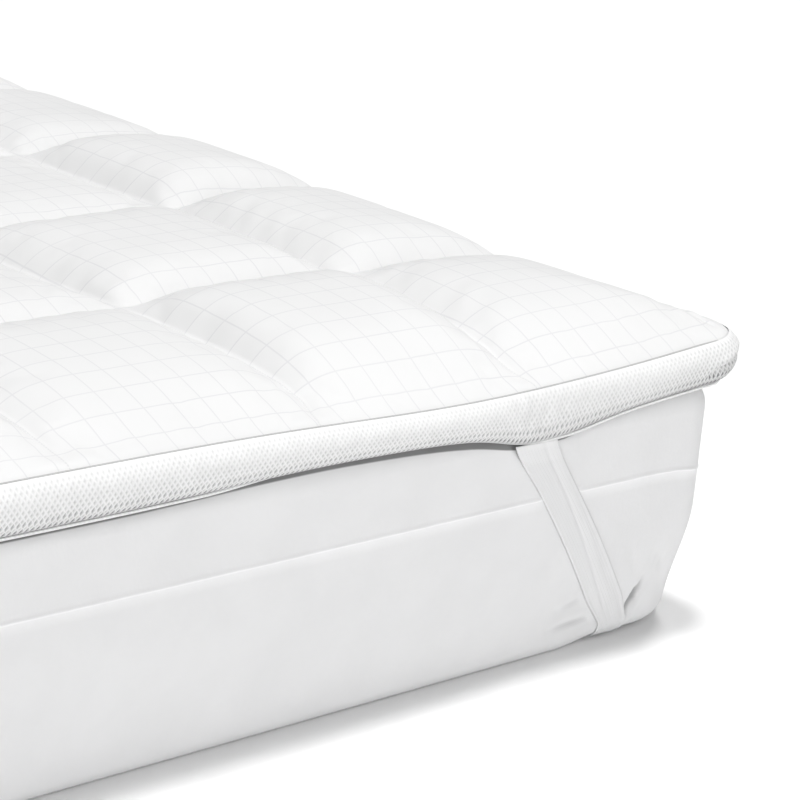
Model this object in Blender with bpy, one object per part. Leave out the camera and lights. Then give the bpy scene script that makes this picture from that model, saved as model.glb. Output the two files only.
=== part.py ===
"""Mattress topper with four corner straps, fitted on a plain mattress.

Metres, +Z up. The origin lies under the middle of the mattress, on the surface that it stands on.
+X runs along the long side. Every length is worked out from the sizes below.
"""

import math

import bmesh
import bpy
from mathutils import Vector

# Mattress
MATTRESS_LENGTH = 2.03
MATTRESS_WIDTH = 1.52
MATTRESS_HEIGHT = 0.27
MATTRESS_CORNER = 0.058  # radius seen from above, on the upper half
MATTRESS_CORNER_LOW = 0.100  # the straps draw the lower corners in
MATTRESS_TOP_EDGE = 0.025  # rounding of the top edge
MATTRESS_BOTTOM_EDGE = 0.018  # rounding of the bottom edge
MATTRESS_DRAW_HEIGHT = 0.15  # the corners narrow below this height
COVER_SEAM_HEIGHT = 0.182
COVER_SEAM_WIDTH = 0.004
COVER_SEAM_PROUD = 0.0012
CORNER_LIFT = 0.003  # a strap passes under each corner
CORNER_TIP_LIFT = 0.008
CORNER_LIFT_RAMP = 0.05
CORNER_LIFT_REACH = 0.25  # sum of both distances from the corner where the lift starts
CORNER_TIP_REACH = 0.10

# Topper
COLUMNS = 7
ROWS = 5
END_COLUMN = 0.318  # the quilted squares at both short sides are a little longer than the others
OVERHANG = 0.012  # of the border's seams past the mattress's sides
TOPPER_CORNER = 0.060
BAND_HEIGHT = 0.048
BAND_THICKNESS = 0.0025
BAND_BULGE = 0.012
BAND_BULGE_POWER = 0.65
BAND_FLATTENED = 0.4  # share of the bulge that a strap pulls flat
STRAP_PULL = 0.016  # further drop of the lower seam at each strap
STRAP_PULL_SPREAD = 0.090
SEAM_PULL = 0.010  # drop of the upper seam there
SEAM_PULL_PLACE = 0.40
SEAM_PULL_SPREAD = 0.22
RIM_LIFT = 0.004  # rise of the lower seam just past the strap
RIM_LIFT_PLACE = 0.60
RIM_LIFT_SPREAD = 0.15
CORNER_RAISE = 0.009  # rise of the upper seam at each corner
CORNER_RAISE_LOW = 0.010  # rise of the lower seam there
CORNER_RAISE_SPREAD = 0.13
PUFF_HEIGHT = 0.031  # of a quilted square above its seams
PUFF_POWER = 2.6
FILLING_RISE = 0.028  # of the inner seams above the border's upper seam
FILLING_RISE_REACH = 0.11
FILLING_RISE_POWER = 1.3
SEAM_TENT = 0.008  # of a quilting seam's middle above its crossings
PUFF_UNEVEN = 0.003
UNEVEN_BY_COLUMN = 2.3  # radians from one square to the next
UNEVEN_BY_ROW = 4.1

# Thin pieces
GAP = 0.0004
PIPING_RADIUS = 0.0013
STRAP_THICKNESS = 0.0015
STRAP_TOP_PLACE = 0.300  # middle of the strap's sewn end, from the corner
STRAP_TOP_HALF = 0.030
STRAP_LOW_PLACE = 0.136  # middle of the strap where it turns under the mattress
STRAP_LOW_HALF = 0.022
STRAP_STAND_OFF = 0.0024  # middle of the strap's thickness from the mattress's side
STRAP_UNDER_HEIGHT = 0.00135
STRAP_LAND_DEPTH = 0.055  # below the sewn end, where the strap meets the mattress
STRAP_LEAN = ((0.0, 1.0), (0.4, 0.55))  # share of that depth, share of the overhang
STRAP_TURN_ANGLES = (30, 60, 90)

# Places of the rings along each square and each side
EDGE_CUTS = (0.0, 0.0254, 0.0440, TOPPER_CORNER, 0.120, 0.200, 0.265)
SQUARE_CUTS = (0.0, 0.10, 0.34, 0.66, 0.90)
BAND_CUTS = (0.0, 0.12, 0.35, 0.65, 0.88, 1.0)
UNDER_LIP = ((0.008, 0.75), (0.018, 0.08), (0.038, 0.0))  # inset, share of the lower seam's drop
MATTRESS_SIDE_CUTS = (0.14, 0.18, 0.22, 0.26, 0.60)
MATTRESS_ARC_STEPS = 8
MATTRESS_UNDER_INSETS = (0.16, 0.10, 0.06, 0.035)
MATTRESS_SIDE_HEIGHTS = (0.060, 0.110)
MATTRESS_LEAST_CORNER = 0.012
EDGE_ANGLES = (0, 30, 60, 90)
SHARP_ANGLE = 50

SEAM_LENGTH = MATTRESS_LENGTH + 2 * OVERHANG
SEAM_WIDTH = MATTRESS_WIDTH + 2 * OVERHANG

MATERIALS = {
    "quilted_cotton": ((0.87, 0.87, 0.87, 1.0), 0.75),
    "spacer_mesh": ((0.85, 0.85, 0.85, 1.0), 0.70),
    "seam_piping": ((0.72, 0.72, 0.73, 1.0), 0.65),
    "elastic_webbing": ((0.78, 0.78, 0.79, 1.0), 0.60),
    "jersey_cover": ((0.74, 0.74, 0.75, 1.0), 0.85),
}


def clear_scene():
    for old in list(bpy.data.objects):
        bpy.data.objects.remove(old, do_unlink=True)


def material(name):
    colour, roughness = MATERIALS[name]
    made = bpy.data.materials.new(name)
    made.use_nodes = True
    shader = made.node_tree.nodes["Principled BSDF"]
    shader.inputs["Base Color"].default_value = colour
    shader.inputs["Roughness"].default_value = roughness
    shader.inputs["Metallic"].default_value = 0.0
    return made


def add_node(name, mesh_data, finish):
    """One closed piece, its faces turned outward and its round parts shaded smooth."""
    mesh_data.faces.ensure_lookup_table()
    bmesh.ops.recalc_face_normals(mesh_data, faces=mesh_data.faces[:])
    mesh = bpy.data.meshes.new(name)
    mesh_data.to_mesh(mesh)
    mesh_data.free()
    mesh.materials.append(finish)
    mesh.shade_smooth()
    mesh.set_sharp_from_angle(angle=math.radians(SHARP_ANGLE))
    piece = bpy.data.objects.new(name, mesh)
    bpy.context.scene.collection.objects.link(piece)
    return piece


def smooth_step(value):
    """0 below 0, 1 above 1, and an even S between."""
    held = min(max(value, 0.0), 1.0)
    return held * held * (3.0 - 2.0 * held)


def bell(distance, spread):
    return math.exp(-((distance / spread) ** 2))


def join_rings(mesh_data, rings, ends_open):
    """Faces between each ring of vertices and the next, and from the last to the first in a closed tube.

    Every diagonal starts on the higher ring, so that two cloths that lie on each other fold alike.
    """
    count = len(rings[0])
    steps = len(rings) - 1 if ends_open else len(rings)
    for i in range(steps):
        one, two = rings[i], rings[(i + 1) % len(rings)]
        for j in range(count):
            k = (j + 1) % count
            if one[j].co.z >= two[j].co.z:
                mesh_data.faces.new((one[j], one[k], two[k]))
                mesh_data.faces.new((one[j], two[k], two[j]))
            else:
                mesh_data.faces.new((one[j], one[k], two[j]))
                mesh_data.faces.new((one[k], two[k], two[j]))


# The topper's outline, seen from above


def seam_lines(length, squares, end):
    """Places of the quilting seams along one side, from edge to edge."""
    pitch = (length - 2 * end) / (squares - 2)
    inner = [end - length / 2 + pitch * i for i in range(squares - 1)]
    return [-length / 2] + inner + [length / 2]


COLUMN_SEAMS = seam_lines(SEAM_LENGTH, COLUMNS, END_COLUMN)
ROW_SEAMS = seam_lines(SEAM_WIDTH, ROWS, SEAM_WIDTH / ROWS)


def cut_lines(seams):
    """Grid lines along one side: fine near both edges, with some in each quilted square."""
    squares = list(zip(seams, seams[1:]))[1:-1]
    inner = [low + (high - low) * cut for low, high in squares for cut in SQUARE_CUTS]
    inner.append(seams[-2])
    return [seams[0] + cut for cut in EDGE_CUTS] + inner + [seams[-1] - cut for cut in EDGE_CUTS[::-1]]


def rounded(x, y):
    """A point of the square grid, moved so that the grid's corners become round."""
    centre_x = SEAM_LENGTH / 2 - TOPPER_CORNER
    centre_y = SEAM_WIDTH / 2 - TOPPER_CORNER
    past_x, past_y = abs(x) - centre_x, abs(y) - centre_y
    if past_x <= 0 or past_y <= 0:
        return x, y
    scale = max(past_x, past_y) / math.hypot(past_x, past_y)
    return (
        math.copysign(centre_x + past_x * scale, x),
        math.copysign(centre_y + past_y * scale, y),
    )


def outward(x, y):
    """The direction that leaves the topper at this point of its outline."""
    past_x = max(abs(x) - (SEAM_LENGTH / 2 - TOPPER_CORNER), 0.0)
    past_y = max(abs(y) - (SEAM_WIDTH / 2 - TOPPER_CORNER), 0.0)
    if past_x > 0 and past_y > 0:
        length = math.hypot(past_x, past_y)
        return Vector((math.copysign(past_x / length, x), math.copysign(past_y / length, y), 0))
    if abs(x) / SEAM_LENGTH > abs(y) / SEAM_WIDTH:
        return Vector((math.copysign(1, x), 0, 0))
    return Vector((0, math.copysign(1, y), 0))


def from_corner(x, y):
    """Distance along the outline from its nearest corner."""
    return max(SEAM_LENGTH / 2 - abs(x), SEAM_WIDTH / 2 - abs(y))


def outline():
    """(point, direction outward, distance from the corner) all round the border's seams."""
    xs, ys = cut_lines(COLUMN_SEAMS), cut_lines(ROW_SEAMS)
    walk = [(x, ys[0]) for x in xs[:-1]] + [(xs[-1], y) for y in ys[:-1]]
    walk += [(x, ys[-1]) for x in xs[:0:-1]] + [(xs[0], y) for y in ys[:0:-1]]
    found = []
    for x, y in walk:
        flat_x, flat_y = rounded(x, y)
        found.append((Vector((flat_x, flat_y, 0)), outward(x, y), from_corner(x, y)))
    return found


def upper_seam(distance):
    """Height of the border's upper seam at this distance from the corner."""
    pull = SEAM_PULL * bell(distance - SEAM_PULL_PLACE, SEAM_PULL_SPREAD)
    rise = CORNER_RAISE * bell(distance, CORNER_RAISE_SPREAD)
    return MATTRESS_HEIGHT + BAND_HEIGHT - pull + rise


def lower_seam(distance):
    """Height of the border's lower seam, which the straps pull down."""
    pull = STRAP_PULL * bell(distance - STRAP_TOP_PLACE, STRAP_PULL_SPREAD)
    rise = CORNER_RAISE_LOW * bell(distance, CORNER_RAISE_SPREAD)
    rise += RIM_LIFT * bell(distance - RIM_LIFT_PLACE, RIM_LIFT_SPREAD)
    return MATTRESS_HEIGHT - pull + rise


def band_point(distance, cut):
    """(outward, height) of the border's outer face, from its upper seam at cut 0 to its lower one at 1."""
    pull = bell(distance - STRAP_TOP_PLACE, STRAP_PULL_SPREAD)
    bulge = BAND_BULGE * (1.0 - BAND_FLATTENED * pull)
    out = PIPING_RADIUS + bulge * (4.0 * cut * (1.0 - cut)) ** BAND_BULGE_POWER
    top, low = upper_seam(distance), lower_seam(distance)
    return out, top + (low - top) * cut


# Pieces of the topper


def puff(place):
    """0 on a quilting seam and 1 in the middle of its square; place runs from 0 to 1 across the square."""
    return 1.0 - abs(2.0 * place - 1.0) ** PUFF_POWER


def in_square(value, seams):
    """(number of the square between these seams, place from 0 to 1 in it)."""
    number = sum(value >= seam for seam in seams[1:-1])
    low, high = seams[number], seams[number + 1]
    return number, min(max((value - low) / (high - low), 0.0), 1.0)


def quilt_height(x, y):
    """Height of the quilted face above the border's upper seam."""
    column, across = in_square(x, COLUMN_SEAMS)
    row, along = in_square(y, ROW_SEAMS)
    edge = min(SEAM_LENGTH / 2 - abs(x), SEAM_WIDTH / 2 - abs(y))
    inner = 1.0 - math.exp(-((edge / FILLING_RISE_REACH) ** FILLING_RISE_POWER))
    uneven = PUFF_UNEVEN * math.sin(UNEVEN_BY_COLUMN * column + UNEVEN_BY_ROW * row)
    crown = (PUFF_HEIGHT + uneven) * puff(across) * puff(along)
    tent_x = 4.0 * across * (1.0 - across) * (1.0 - puff(along))
    tent_y = 4.0 * along * (1.0 - along) * (1.0 - puff(across))
    return inner * (FILLING_RISE + SEAM_TENT * (tent_x + tent_y)) + crown


def quilted_top(mesh_data):
    """The quilted face as rows of vertices; its outer ones lie on the body's edge."""
    xs, ys = cut_lines(COLUMN_SEAMS), cut_lines(ROW_SEAMS)
    inset = BAND_THICKNESS + GAP - PIPING_RADIUS
    rows = []
    for y in ys:
        row = []
        for x in xs:
            flat_x, flat_y = rounded(x, y)
            edge = min(SEAM_LENGTH / 2 - abs(x), SEAM_WIDTH / 2 - abs(y))
            on_edge = edge < GAP
            height = upper_seam(from_corner(x, y)) if on_edge else MATTRESS_HEIGHT + BAND_HEIGHT
            point = Vector((flat_x, flat_y, height + quilt_height(x, y)))
            if on_edge:
                point -= outward(x, y) * inset
            row.append(mesh_data.verts.new(point))
        rows.append(row)
    for low, high in zip(rows, rows[1:]):
        for i in range(len(low) - 1):
            mesh_data.faces.new((low[i], low[i + 1], high[i + 1], high[i]))
    edge_ring = rows[0][:-1] + [row[-1] for row in rows[:-1]] + rows[-1][:0:-1]
    return edge_ring + [row[0] for row in rows[:0:-1]]


def ring_at(mesh_data, walk, place):
    """A ring of vertices; place gives (outward, height) for a distance from the corner."""
    ring = []
    for point, direction, distance in walk:
        out, height = place(distance)
        ring.append(mesh_data.verts.new(point + direction * out + Vector((0, 0, height))))
    return ring


def topper_body(finish):
    """The filled pad: quilted above, a bulging side behind the border, and flat under the quilting."""
    mesh_data = bmesh.new()
    walk = outline()
    rings = [quilted_top(mesh_data)]
    behind = BAND_THICKNESS + GAP
    for cut in BAND_CUTS[1:]:

        def side(distance, cut=cut):
            out, height = band_point(distance, cut)
            return out - behind, height

        rings.append(ring_at(mesh_data, walk, side))
    resting = MATTRESS_HEIGHT + GAP
    for inset, share in UNDER_LIP:

        def under(distance, inset=inset, share=share):
            return -inset, resting + (lower_seam(distance) - resting) * share

        rings.append(ring_at(mesh_data, walk, under))
    join_rings(mesh_data, rings, ends_open=True)
    mesh_data.faces.new(rings[-1])
    return add_node("topper_body", mesh_data, finish)


def border_band(finish):
    """The mesh band between the two seams, one ring of cloth that bulges outward."""
    mesh_data = bmesh.new()
    walk = outline()
    places = [(cut, 0.0) for cut in BAND_CUTS] + [(cut, BAND_THICKNESS) for cut in BAND_CUTS[::-1]]
    rings = []
    for cut, inward in places:

        def face(distance, cut=cut, inward=inward):
            out, height = band_point(distance, cut)
            return out - inward, height

        rings.append(ring_at(mesh_data, walk, face))
    join_rings(mesh_data, rings, ends_open=False)
    return add_node("border_band", mesh_data, finish)


def seam_piping(name, seam, rise, finish):
    """A thin ring of piping along one of the border's seams."""
    mesh_data = bmesh.new()
    walk = outline()
    rings = []
    for corner in range(4):
        angle = math.radians(45 + 90 * corner)

        def edge(distance, angle=angle):
            out = PIPING_RADIUS * math.cos(angle)
            return out, seam(distance) + rise + PIPING_RADIUS * math.sin(angle)

        rings.append(ring_at(mesh_data, walk, edge))
    join_rings(mesh_data, rings, ends_open=False)
    return add_node(name, mesh_data, finish)


# Straps


def strap_stations():
    """(distances from the corner along its own side, outward, height, normal) down one leg of a strap."""
    start = lower_seam(STRAP_TOP_PLACE) - 2 * PIPING_RADIUS - GAP
    turn = MATTRESS_BOTTOM_EDGE + CORNER_LIFT
    landing = start - STRAP_LAND_DEPTH
    sideways = Vector((1, 0))
    legs = [(start - STRAP_LAND_DEPTH * down, OVERHANG * out, sideways) for down, out in STRAP_LEAN]
    legs += [(height, STRAP_STAND_OFF, sideways) for height in (landing, (landing + turn) / 2, turn)]
    reach = MATTRESS_BOTTOM_EDGE + STRAP_STAND_OFF
    depth = turn - STRAP_UNDER_HEIGHT
    for degrees in STRAP_TURN_ANGLES:
        sine, cosine = math.sin(math.radians(degrees)), math.cos(math.radians(degrees))
        legs.append((turn - depth * sine, reach * cosine - MATTRESS_BOTTOM_EDGE, Vector((cosine, -sine))))
    stations = []
    for height, out, normal in legs:
        share = min((start - height) / (start - turn), 1.0)
        middle = STRAP_TOP_PLACE + (STRAP_LOW_PLACE - STRAP_TOP_PLACE) * share
        half = STRAP_TOP_HALF + (STRAP_LOW_HALF - STRAP_TOP_HALF) * share
        stations.append((middle + half, middle - half, out, height, normal))
    return stations


def corner_strap(name, side_x, side_y, finish):
    """Flat elastic from the border's lower seam, under the mattress's corner, up to the seam beyond it."""
    corner = Vector((side_x * MATTRESS_LENGTH / 2, side_y * MATTRESS_WIDTH / 2, 0))
    along_x, along_y = Vector((-side_x, 0, 0)), Vector((0, -side_y, 0))
    up = Vector((0, 0, 1))
    sections = []
    for far, near, out, height, normal in strap_stations():
        flat = normal.x * -along_y + normal.y * up
        base = corner - along_y * out + up * height
        sections.append((base + along_x * far, base + along_x * near, flat))
    for far, near, out, height, normal in strap_stations()[::-1]:
        flat = normal.x * -along_x + normal.y * up
        base = corner - along_x * out + up * height
        sections.append((base + along_y * far, base + along_y * near, flat))
    mesh_data = bmesh.new()
    half = STRAP_THICKNESS / 2
    rings = []
    for far, near, flat in sections:
        corners = (far + flat * half, near + flat * half, near - flat * half, far - flat * half)
        rings.append([mesh_data.verts.new(point) for point in corners])
    join_rings(mesh_data, rings, ends_open=True)
    mesh_data.faces.new(rings[0])
    mesh_data.faces.new(rings[-1])
    return add_node(name, mesh_data, finish)


# Mattress


def mattress_ring(inset, height):
    """Points of one level of the mattress, a rectangle whose round corners grow tighter upward."""
    low = smooth_step(1.0 - height / MATTRESS_DRAW_HEIGHT)
    radius = MATTRESS_CORNER + (MATTRESS_CORNER_LOW - MATTRESS_CORNER) * low
    radius = max(radius - inset, MATTRESS_LEAST_CORNER)
    half_x, half_y = MATTRESS_LENGTH / 2 - inset, MATTRESS_WIDTH / 2 - inset
    points = []
    turns = ((1, -1, -90, half_y), (1, 1, 0, half_x), (-1, 1, 90, half_y), (-1, -1, 180, half_x))
    for side_x, side_y, start, half_side in turns:
        centre = Vector((side_x * (half_x - radius), side_y * (half_y - radius), 0))
        for step in range(MATTRESS_ARC_STEPS + 1):
            angle = math.radians(start + 90 * step / MATTRESS_ARC_STEPS)
            points.append(centre + radius * Vector((math.cos(angle), math.sin(angle), 0)))
        heading = Vector((-math.sin(math.radians(start + 90)), math.cos(math.radians(start + 90)), 0))
        corner = Vector((side_x * half_x, side_y * half_y, 0))
        cuts = [cut - inset for cut in MATTRESS_SIDE_CUTS]
        cuts += [2 * half_side - cut for cut in cuts[::-1]]
        points += [corner + heading * cut for cut in cuts]
    return points


def corner_lift(point):
    """How far the mattress's underside rises here, near a corner, for the strap to pass."""
    from_both = MATTRESS_LENGTH / 2 - abs(point.x) + MATTRESS_WIDTH / 2 - abs(point.y)
    lift = CORNER_LIFT * smooth_step((CORNER_LIFT_REACH - from_both) / CORNER_LIFT_RAMP)
    return lift + CORNER_TIP_LIFT * smooth_step((CORNER_TIP_REACH - from_both) / CORNER_TIP_REACH)


def mattress_levels():
    """(inset, height) of each level, from the flat underside to the flat top."""
    levels = [(inset, 0.0) for inset in MATTRESS_UNDER_INSETS]
    for angle in EDGE_ANGLES:
        turn = math.radians(angle)
        inset = MATTRESS_BOTTOM_EDGE * (1 - math.sin(turn))
        levels.append((inset, MATTRESS_BOTTOM_EDGE * (1 - math.cos(turn))))
    levels += [(0.0, height) for height in MATTRESS_SIDE_HEIGHTS]
    levels.append((0.0, COVER_SEAM_HEIGHT - COVER_SEAM_WIDTH / 2))
    levels.append((-COVER_SEAM_PROUD, COVER_SEAM_HEIGHT))
    levels.append((0.0, COVER_SEAM_HEIGHT + COVER_SEAM_WIDTH / 2))
    for angle in EDGE_ANGLES:
        turn = math.radians(angle)
        height = MATTRESS_HEIGHT - MATTRESS_TOP_EDGE * (1 - math.sin(turn))
        levels.append((MATTRESS_TOP_EDGE * (1 - math.cos(turn)), height))
    return levels


def mattress(finish):
    mesh_data = bmesh.new()
    rings = []
    for inset, height in mattress_levels():
        share = max(1.0 - height / MATTRESS_DRAW_HEIGHT, 0.0)
        ring = []
        for point in mattress_ring(inset, height):
            point.z = height + corner_lift(point) * share
            ring.append(mesh_data.verts.new(point))
        rings.append(ring)
    join_rings(mesh_data, rings, ends_open=True)
    mesh_data.faces.new(rings[0])
    mesh_data.faces.new(rings[-1])
    return add_node("mattress", mesh_data, finish)


def main():
    clear_scene()
    finishes = {name: material(name) for name in MATERIALS}
    mattress(finishes["jersey_cover"])
    topper_body(finishes["quilted_cotton"])
    border_band(finishes["spacer_mesh"])
    clear = PIPING_RADIUS + GAP
    seam_piping("piping_top", upper_seam, clear, finishes["seam_piping"])
    seam_piping("piping_bottom", lower_seam, -clear, finishes["seam_piping"])
    for name, side_x, side_y in (
        ("strap_front_right", 1, -1),
        ("strap_back_right", 1, 1),
        ("strap_back_left", -1, 1),
        ("strap_front_left", -1, -1),
    ):
        corner_strap(name, side_x, side_y, finishes["elastic_webbing"])


main()
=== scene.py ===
"""Looks of a quilted mattress topper with four corner straps, fitted on a plain mattress.

Metres, +Z up. The origin lies under the middle of the mattress, and +X runs along its long side.
Each piece is made by an operator of its own, from the sizes and colours in the property groups.
"""

import math

import bpy
import numpy as np
from bpy.props import FloatProperty, FloatVectorProperty, IntProperty, PointerProperty
from bpy.types import NodeSocket, Operator, Panel, PropertyGroup
from mathutils import Matrix, Vector, noise


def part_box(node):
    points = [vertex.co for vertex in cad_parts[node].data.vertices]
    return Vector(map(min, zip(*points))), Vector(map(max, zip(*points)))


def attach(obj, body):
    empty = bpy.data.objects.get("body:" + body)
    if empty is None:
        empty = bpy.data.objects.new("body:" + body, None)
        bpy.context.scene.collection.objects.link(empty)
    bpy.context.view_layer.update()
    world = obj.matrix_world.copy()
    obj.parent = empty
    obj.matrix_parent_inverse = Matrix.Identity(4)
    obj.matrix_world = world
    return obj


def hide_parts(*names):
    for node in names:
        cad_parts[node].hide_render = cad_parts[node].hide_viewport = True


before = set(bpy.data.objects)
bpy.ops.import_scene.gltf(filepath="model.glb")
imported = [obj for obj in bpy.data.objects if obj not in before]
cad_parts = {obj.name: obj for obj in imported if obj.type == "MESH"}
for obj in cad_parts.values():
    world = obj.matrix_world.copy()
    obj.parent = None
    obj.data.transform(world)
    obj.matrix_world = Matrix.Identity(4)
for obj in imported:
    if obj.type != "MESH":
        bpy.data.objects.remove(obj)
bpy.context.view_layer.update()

bl_info = {
    "name": "Mattress topper",
    "version": (1, 0, 0),
    "blender": (4, 5, 0),
    "location": "3D View > Sidebar > Topper",
    "description": "Dresses a quilted topper, its corner straps and the mattress under it",
    "category": "Add Mesh",
}

# Mattress cover
COVER_SEAM_PROUD = 0.0012
COVER_SEAM_WIDTH = 0.004
COVER_SEAM_SHAPE = ((-0.5, 0.0), (-0.25, 0.7), (0.0, 1.0), (0.25, 0.7), (0.5, 0.0))  # by share of both
CORNER_LIFT = 0.0062  # the straps draw up each corner
CORNER_TIP_LIFT = 0.005
CORNER_LIFT_RAMP = 0.060
CORNER_LIFT_REACH = 0.228
CORNER_TIP_REACH = 0.10
LEAST_CORNER = 0.012
UNDER_INSETS = (0.16, 0.10, 0.06, 0.035)

# Shape of the border's seams, by distance along the outline from the nearest corner
STRAP_PULL = 0.016
STRAP_PULL_SPREAD = 0.090
# Bell shapes: height, place and spread
STRAP_TUG = (0.0028, 0.335, 0.035)  # beside the strap's edge away from the corner
SEAM_PULL = (0.010, 0.40, 0.22)
RIM_LIFT = (0.004, 0.60, 0.15)
CORNER_RAISE = (0.009, 0.0, 0.13)
CORNER_RAISE_LOW = (0.010, 0.0, 0.13)
SEAM_REACH = 0.0013  # from the outline to the band's face at its seams
PAD_INSET = 0.0009  # of the face's edge, which lies under the top piping
CORNER_OVERLAP = 0.0009  # round the corners it covers the piping
SUNK_CORNER = 0.085
SUNK_CORNER_RAMP = 0.040
BAND_BACKING = 0.0060  # from the band's face to the filling behind it
BAND_BULGE_POWER = 0.65
BAND_FLATTENED = 0.4
GAP = 0.0004

# Filling of the quilted face
PUFF_POWER = 4.89
CREST_LEAN = (0.967, 0.954)  # below 1 the crest of a square lies nearer its low seams
CROWN_REACH = 0.080
CROWN_POWER = 1.3
FILLING_RISE_REACH = 0.078
FILLING_RISE_POWER = 1.19
SEAM_SAG = 0.0036
CORNER_FULLNESS = (0.0045, 0.0, 0.087)
EDGE_BLEND = 0.109  # width in which the face meets the border's seam
PUFF_UNEVEN = 0.003
UNEVEN_BY_COLUMN = 2.3
UNEVEN_BY_ROW = 4.1
# Squares filled more or less than the others, by column from the right end and row from the front
SQUARE_FILLING = {
    (0, 0): 0.0019, (0, 1): 0.0061, (0, 2): 0.0088, (0, 3): -0.0006,
    (1, 0): 0.0087, (1, 1): 0.0016, (1, 2): -0.0119,
    (2, 0): -0.0046, (2, 1): -0.0127,
    (3, 0): -0.0011,
}
# How far a seam was sewn off its line, and its slant per square, from the right end and from the front
COLUMN_SEAM_OFF = ((0.0, 0.0106), (-0.0020, -0.0179), (0.0022, -0.0051))
ROW_SEAM_OFF = ((0.0090, -0.0036), (0.0020, 0.0187), (-0.0153, -0.0143))
SEAMS_OFF_FROM = -0.15  # they are off from here to the right end
SEAMS_OFF_RAMP = 0.30
SEAMS_OFF_EDGE = 0.05  # and run true into the border's seam
OTHER_SEAMS_OFF = 0.004
RIM_ROLL = 0.0024  # the filling stands up close beside the border's seam
RIM_ROLL_START = 0.0040
RIM_ROLL_REACH = 0.030
RIM_PUCKER = 0.0022
RIM_PUCKER_SPREAD = 0.050
SEAM_PUCKER = 0.0012
SEAM_PUCKER_SPREAD = 0.022
PUCKER_WIDTH = 0.024
PUCKER_START = 0.008  # from the border's seam
SEAM_END_REACH = 0.035  # the border puckers more where a quilting seam meets it
CORNER_CREASE_REACH = 0.25
# Creases beside the corner: start, end, half width, depth, from the corner of the outline
CORNER_CREASES = (
    ((0.046, 0.060), (0.030, 0.022), 0.0055, 0.0060),
    ((0.070, 0.085), (0.062, 0.045), 0.0070, 0.0025),
    ((0.150, 0.060), (0.142, 0.022), 0.0080, 0.0022),
    ((0.105, 0.050), (0.098, 0.018), 0.0070, 0.0024),
)

# Cloth of the quilted face, blown up between its seams
CLOTH_STEPS = 26
CLOTH_FRAMES = 20
CLOTH_START = 0.0006
CLOTH_START_WIDTH = 0.030
CLOTH_EVEN_ROUNDS = 8
CLOTH_CAP = 0.003
CLOTH_SHARE = 0.6
CLOTH_SETTINGS = {
    "quality": 4,
    "mass": 0.3,
    "use_pressure": True,
    "uniform_pressure_force": 4.0,
    "shrink_min": -0.025,
    "tension_stiffness": 15.0,
    "compression_stiffness": 15.0,
    "shear_stiffness": 5.0,
    "bending_stiffness": 0.1,
}

# Mesh density
SQUARE_STEPS = (43, 44)
END_SQUARE_STEPS = (52, 50)
SEAM_CROWDING = 1.1
SEAM_CROWDING_REACH = 0.030
RIM_CROWDING = 1.6
RIM_CROWDING_REACH = 0.035
SIDE_CUTS = (0.0, 0.16, 0.36, 0.64, 0.84, 1.0)
UNDER_LIP = ((0.004, 0.92), (0.008, 0.75), (0.018, 0.08), (0.038, 0.0))
PIPING_SIDES = 8
PIPING_STEP = 0.006


def a_length(name, description, default):
    return FloatProperty(name=name, description=description, default=default, unit="LENGTH")


def an_angle(name, description, default):
    return FloatProperty(name=name, description=description, default=default, subtype="ANGLE")


def a_number(name, description, default):
    return FloatProperty(name=name, description=description, default=default)


def a_count(name, description, default, least):
    return IntProperty(name=name, description=description, default=default, min=least)


def a_colour(name, description, *linear):
    return FloatVectorProperty(
        name=name, description=description, default=linear, subtype="COLOR", min=0, max=1
    )


class MattressSizes(PropertyGroup):
    """Sizes of the mattress under the topper."""

    corner: a_length("Corner", "Corner radius seen from above", 0.053)
    corner_low: a_length("Lower corner", "Corner radius where the straps draw it in", 0.105)
    top_edge: a_length("Top edge", "Rounding of the top edge", 0.025)
    bottom_edge: a_length("Bottom edge", "Rounding of the bottom edge", 0.018)
    draw_height: a_length("Draw height", "Height below which the corners narrow", 0.14)
    seam_height: a_length("Seam height", "Height of the cover's seam", 0.182)


class TopperSizes(PropertyGroup):
    """Sizes of the quilted pad and its border."""

    columns: a_count("Columns", "Quilted squares along the long side", 7, 3)
    rows: a_count("Rows", "Quilted squares along the short side", 5, 3)
    end_column: a_length("End column", "Length of the squares at both short sides", 0.318)
    overhang: a_length("Overhang", "Of the border's seams past the mattress", 0.012)
    corner: a_length("Corner", "Corner radius of the border", 0.060)
    band_height: a_length("Band height", "Between both seams", 0.048)
    band_bulge: a_length("Band bulge", "How far the band bulges", 0.012)
    puff_height: a_length("Puff height", "Of a square above its seams", 0.0273)
    filling_rise: a_length("Filling rise", "Of the inner seams above the border", 0.0262)
    top_piping: a_length("Top piping", "Radius of the top piping", 0.0013)
    low_piping: a_length("Bottom piping", "Radius of the bottom piping", 0.0015)
    check_pitch: a_length("Check pitch", "Of the woven lines", 0.0325)
    check_width: a_length("Check line", "Width of a woven line", 0.0014)
    hole_pitch: a_length("Hole pitch", "Along the mesh band", 0.0060)
    hole_rows: a_count("Hole rows", "Across the mesh band", 11, 2)


class StrapSizes(PropertyGroup):
    """Sizes of the elastic corner straps."""

    top_place: a_length("Top place", "Middle of the sewn end, from the corner", 0.297)
    top_half: a_length("Top half width", "At the sewn end", 0.0295)
    low_place: a_length("Low place", "Middle of the strap at its turn, from the corner", 0.1445)
    half: a_length("Half width", "Between both ends", 0.0268)
    low_half: a_length("Low half width", "At the turn", 0.0215)
    thickness: a_length("Thickness", "Of the elastic", 0.0013)


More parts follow.
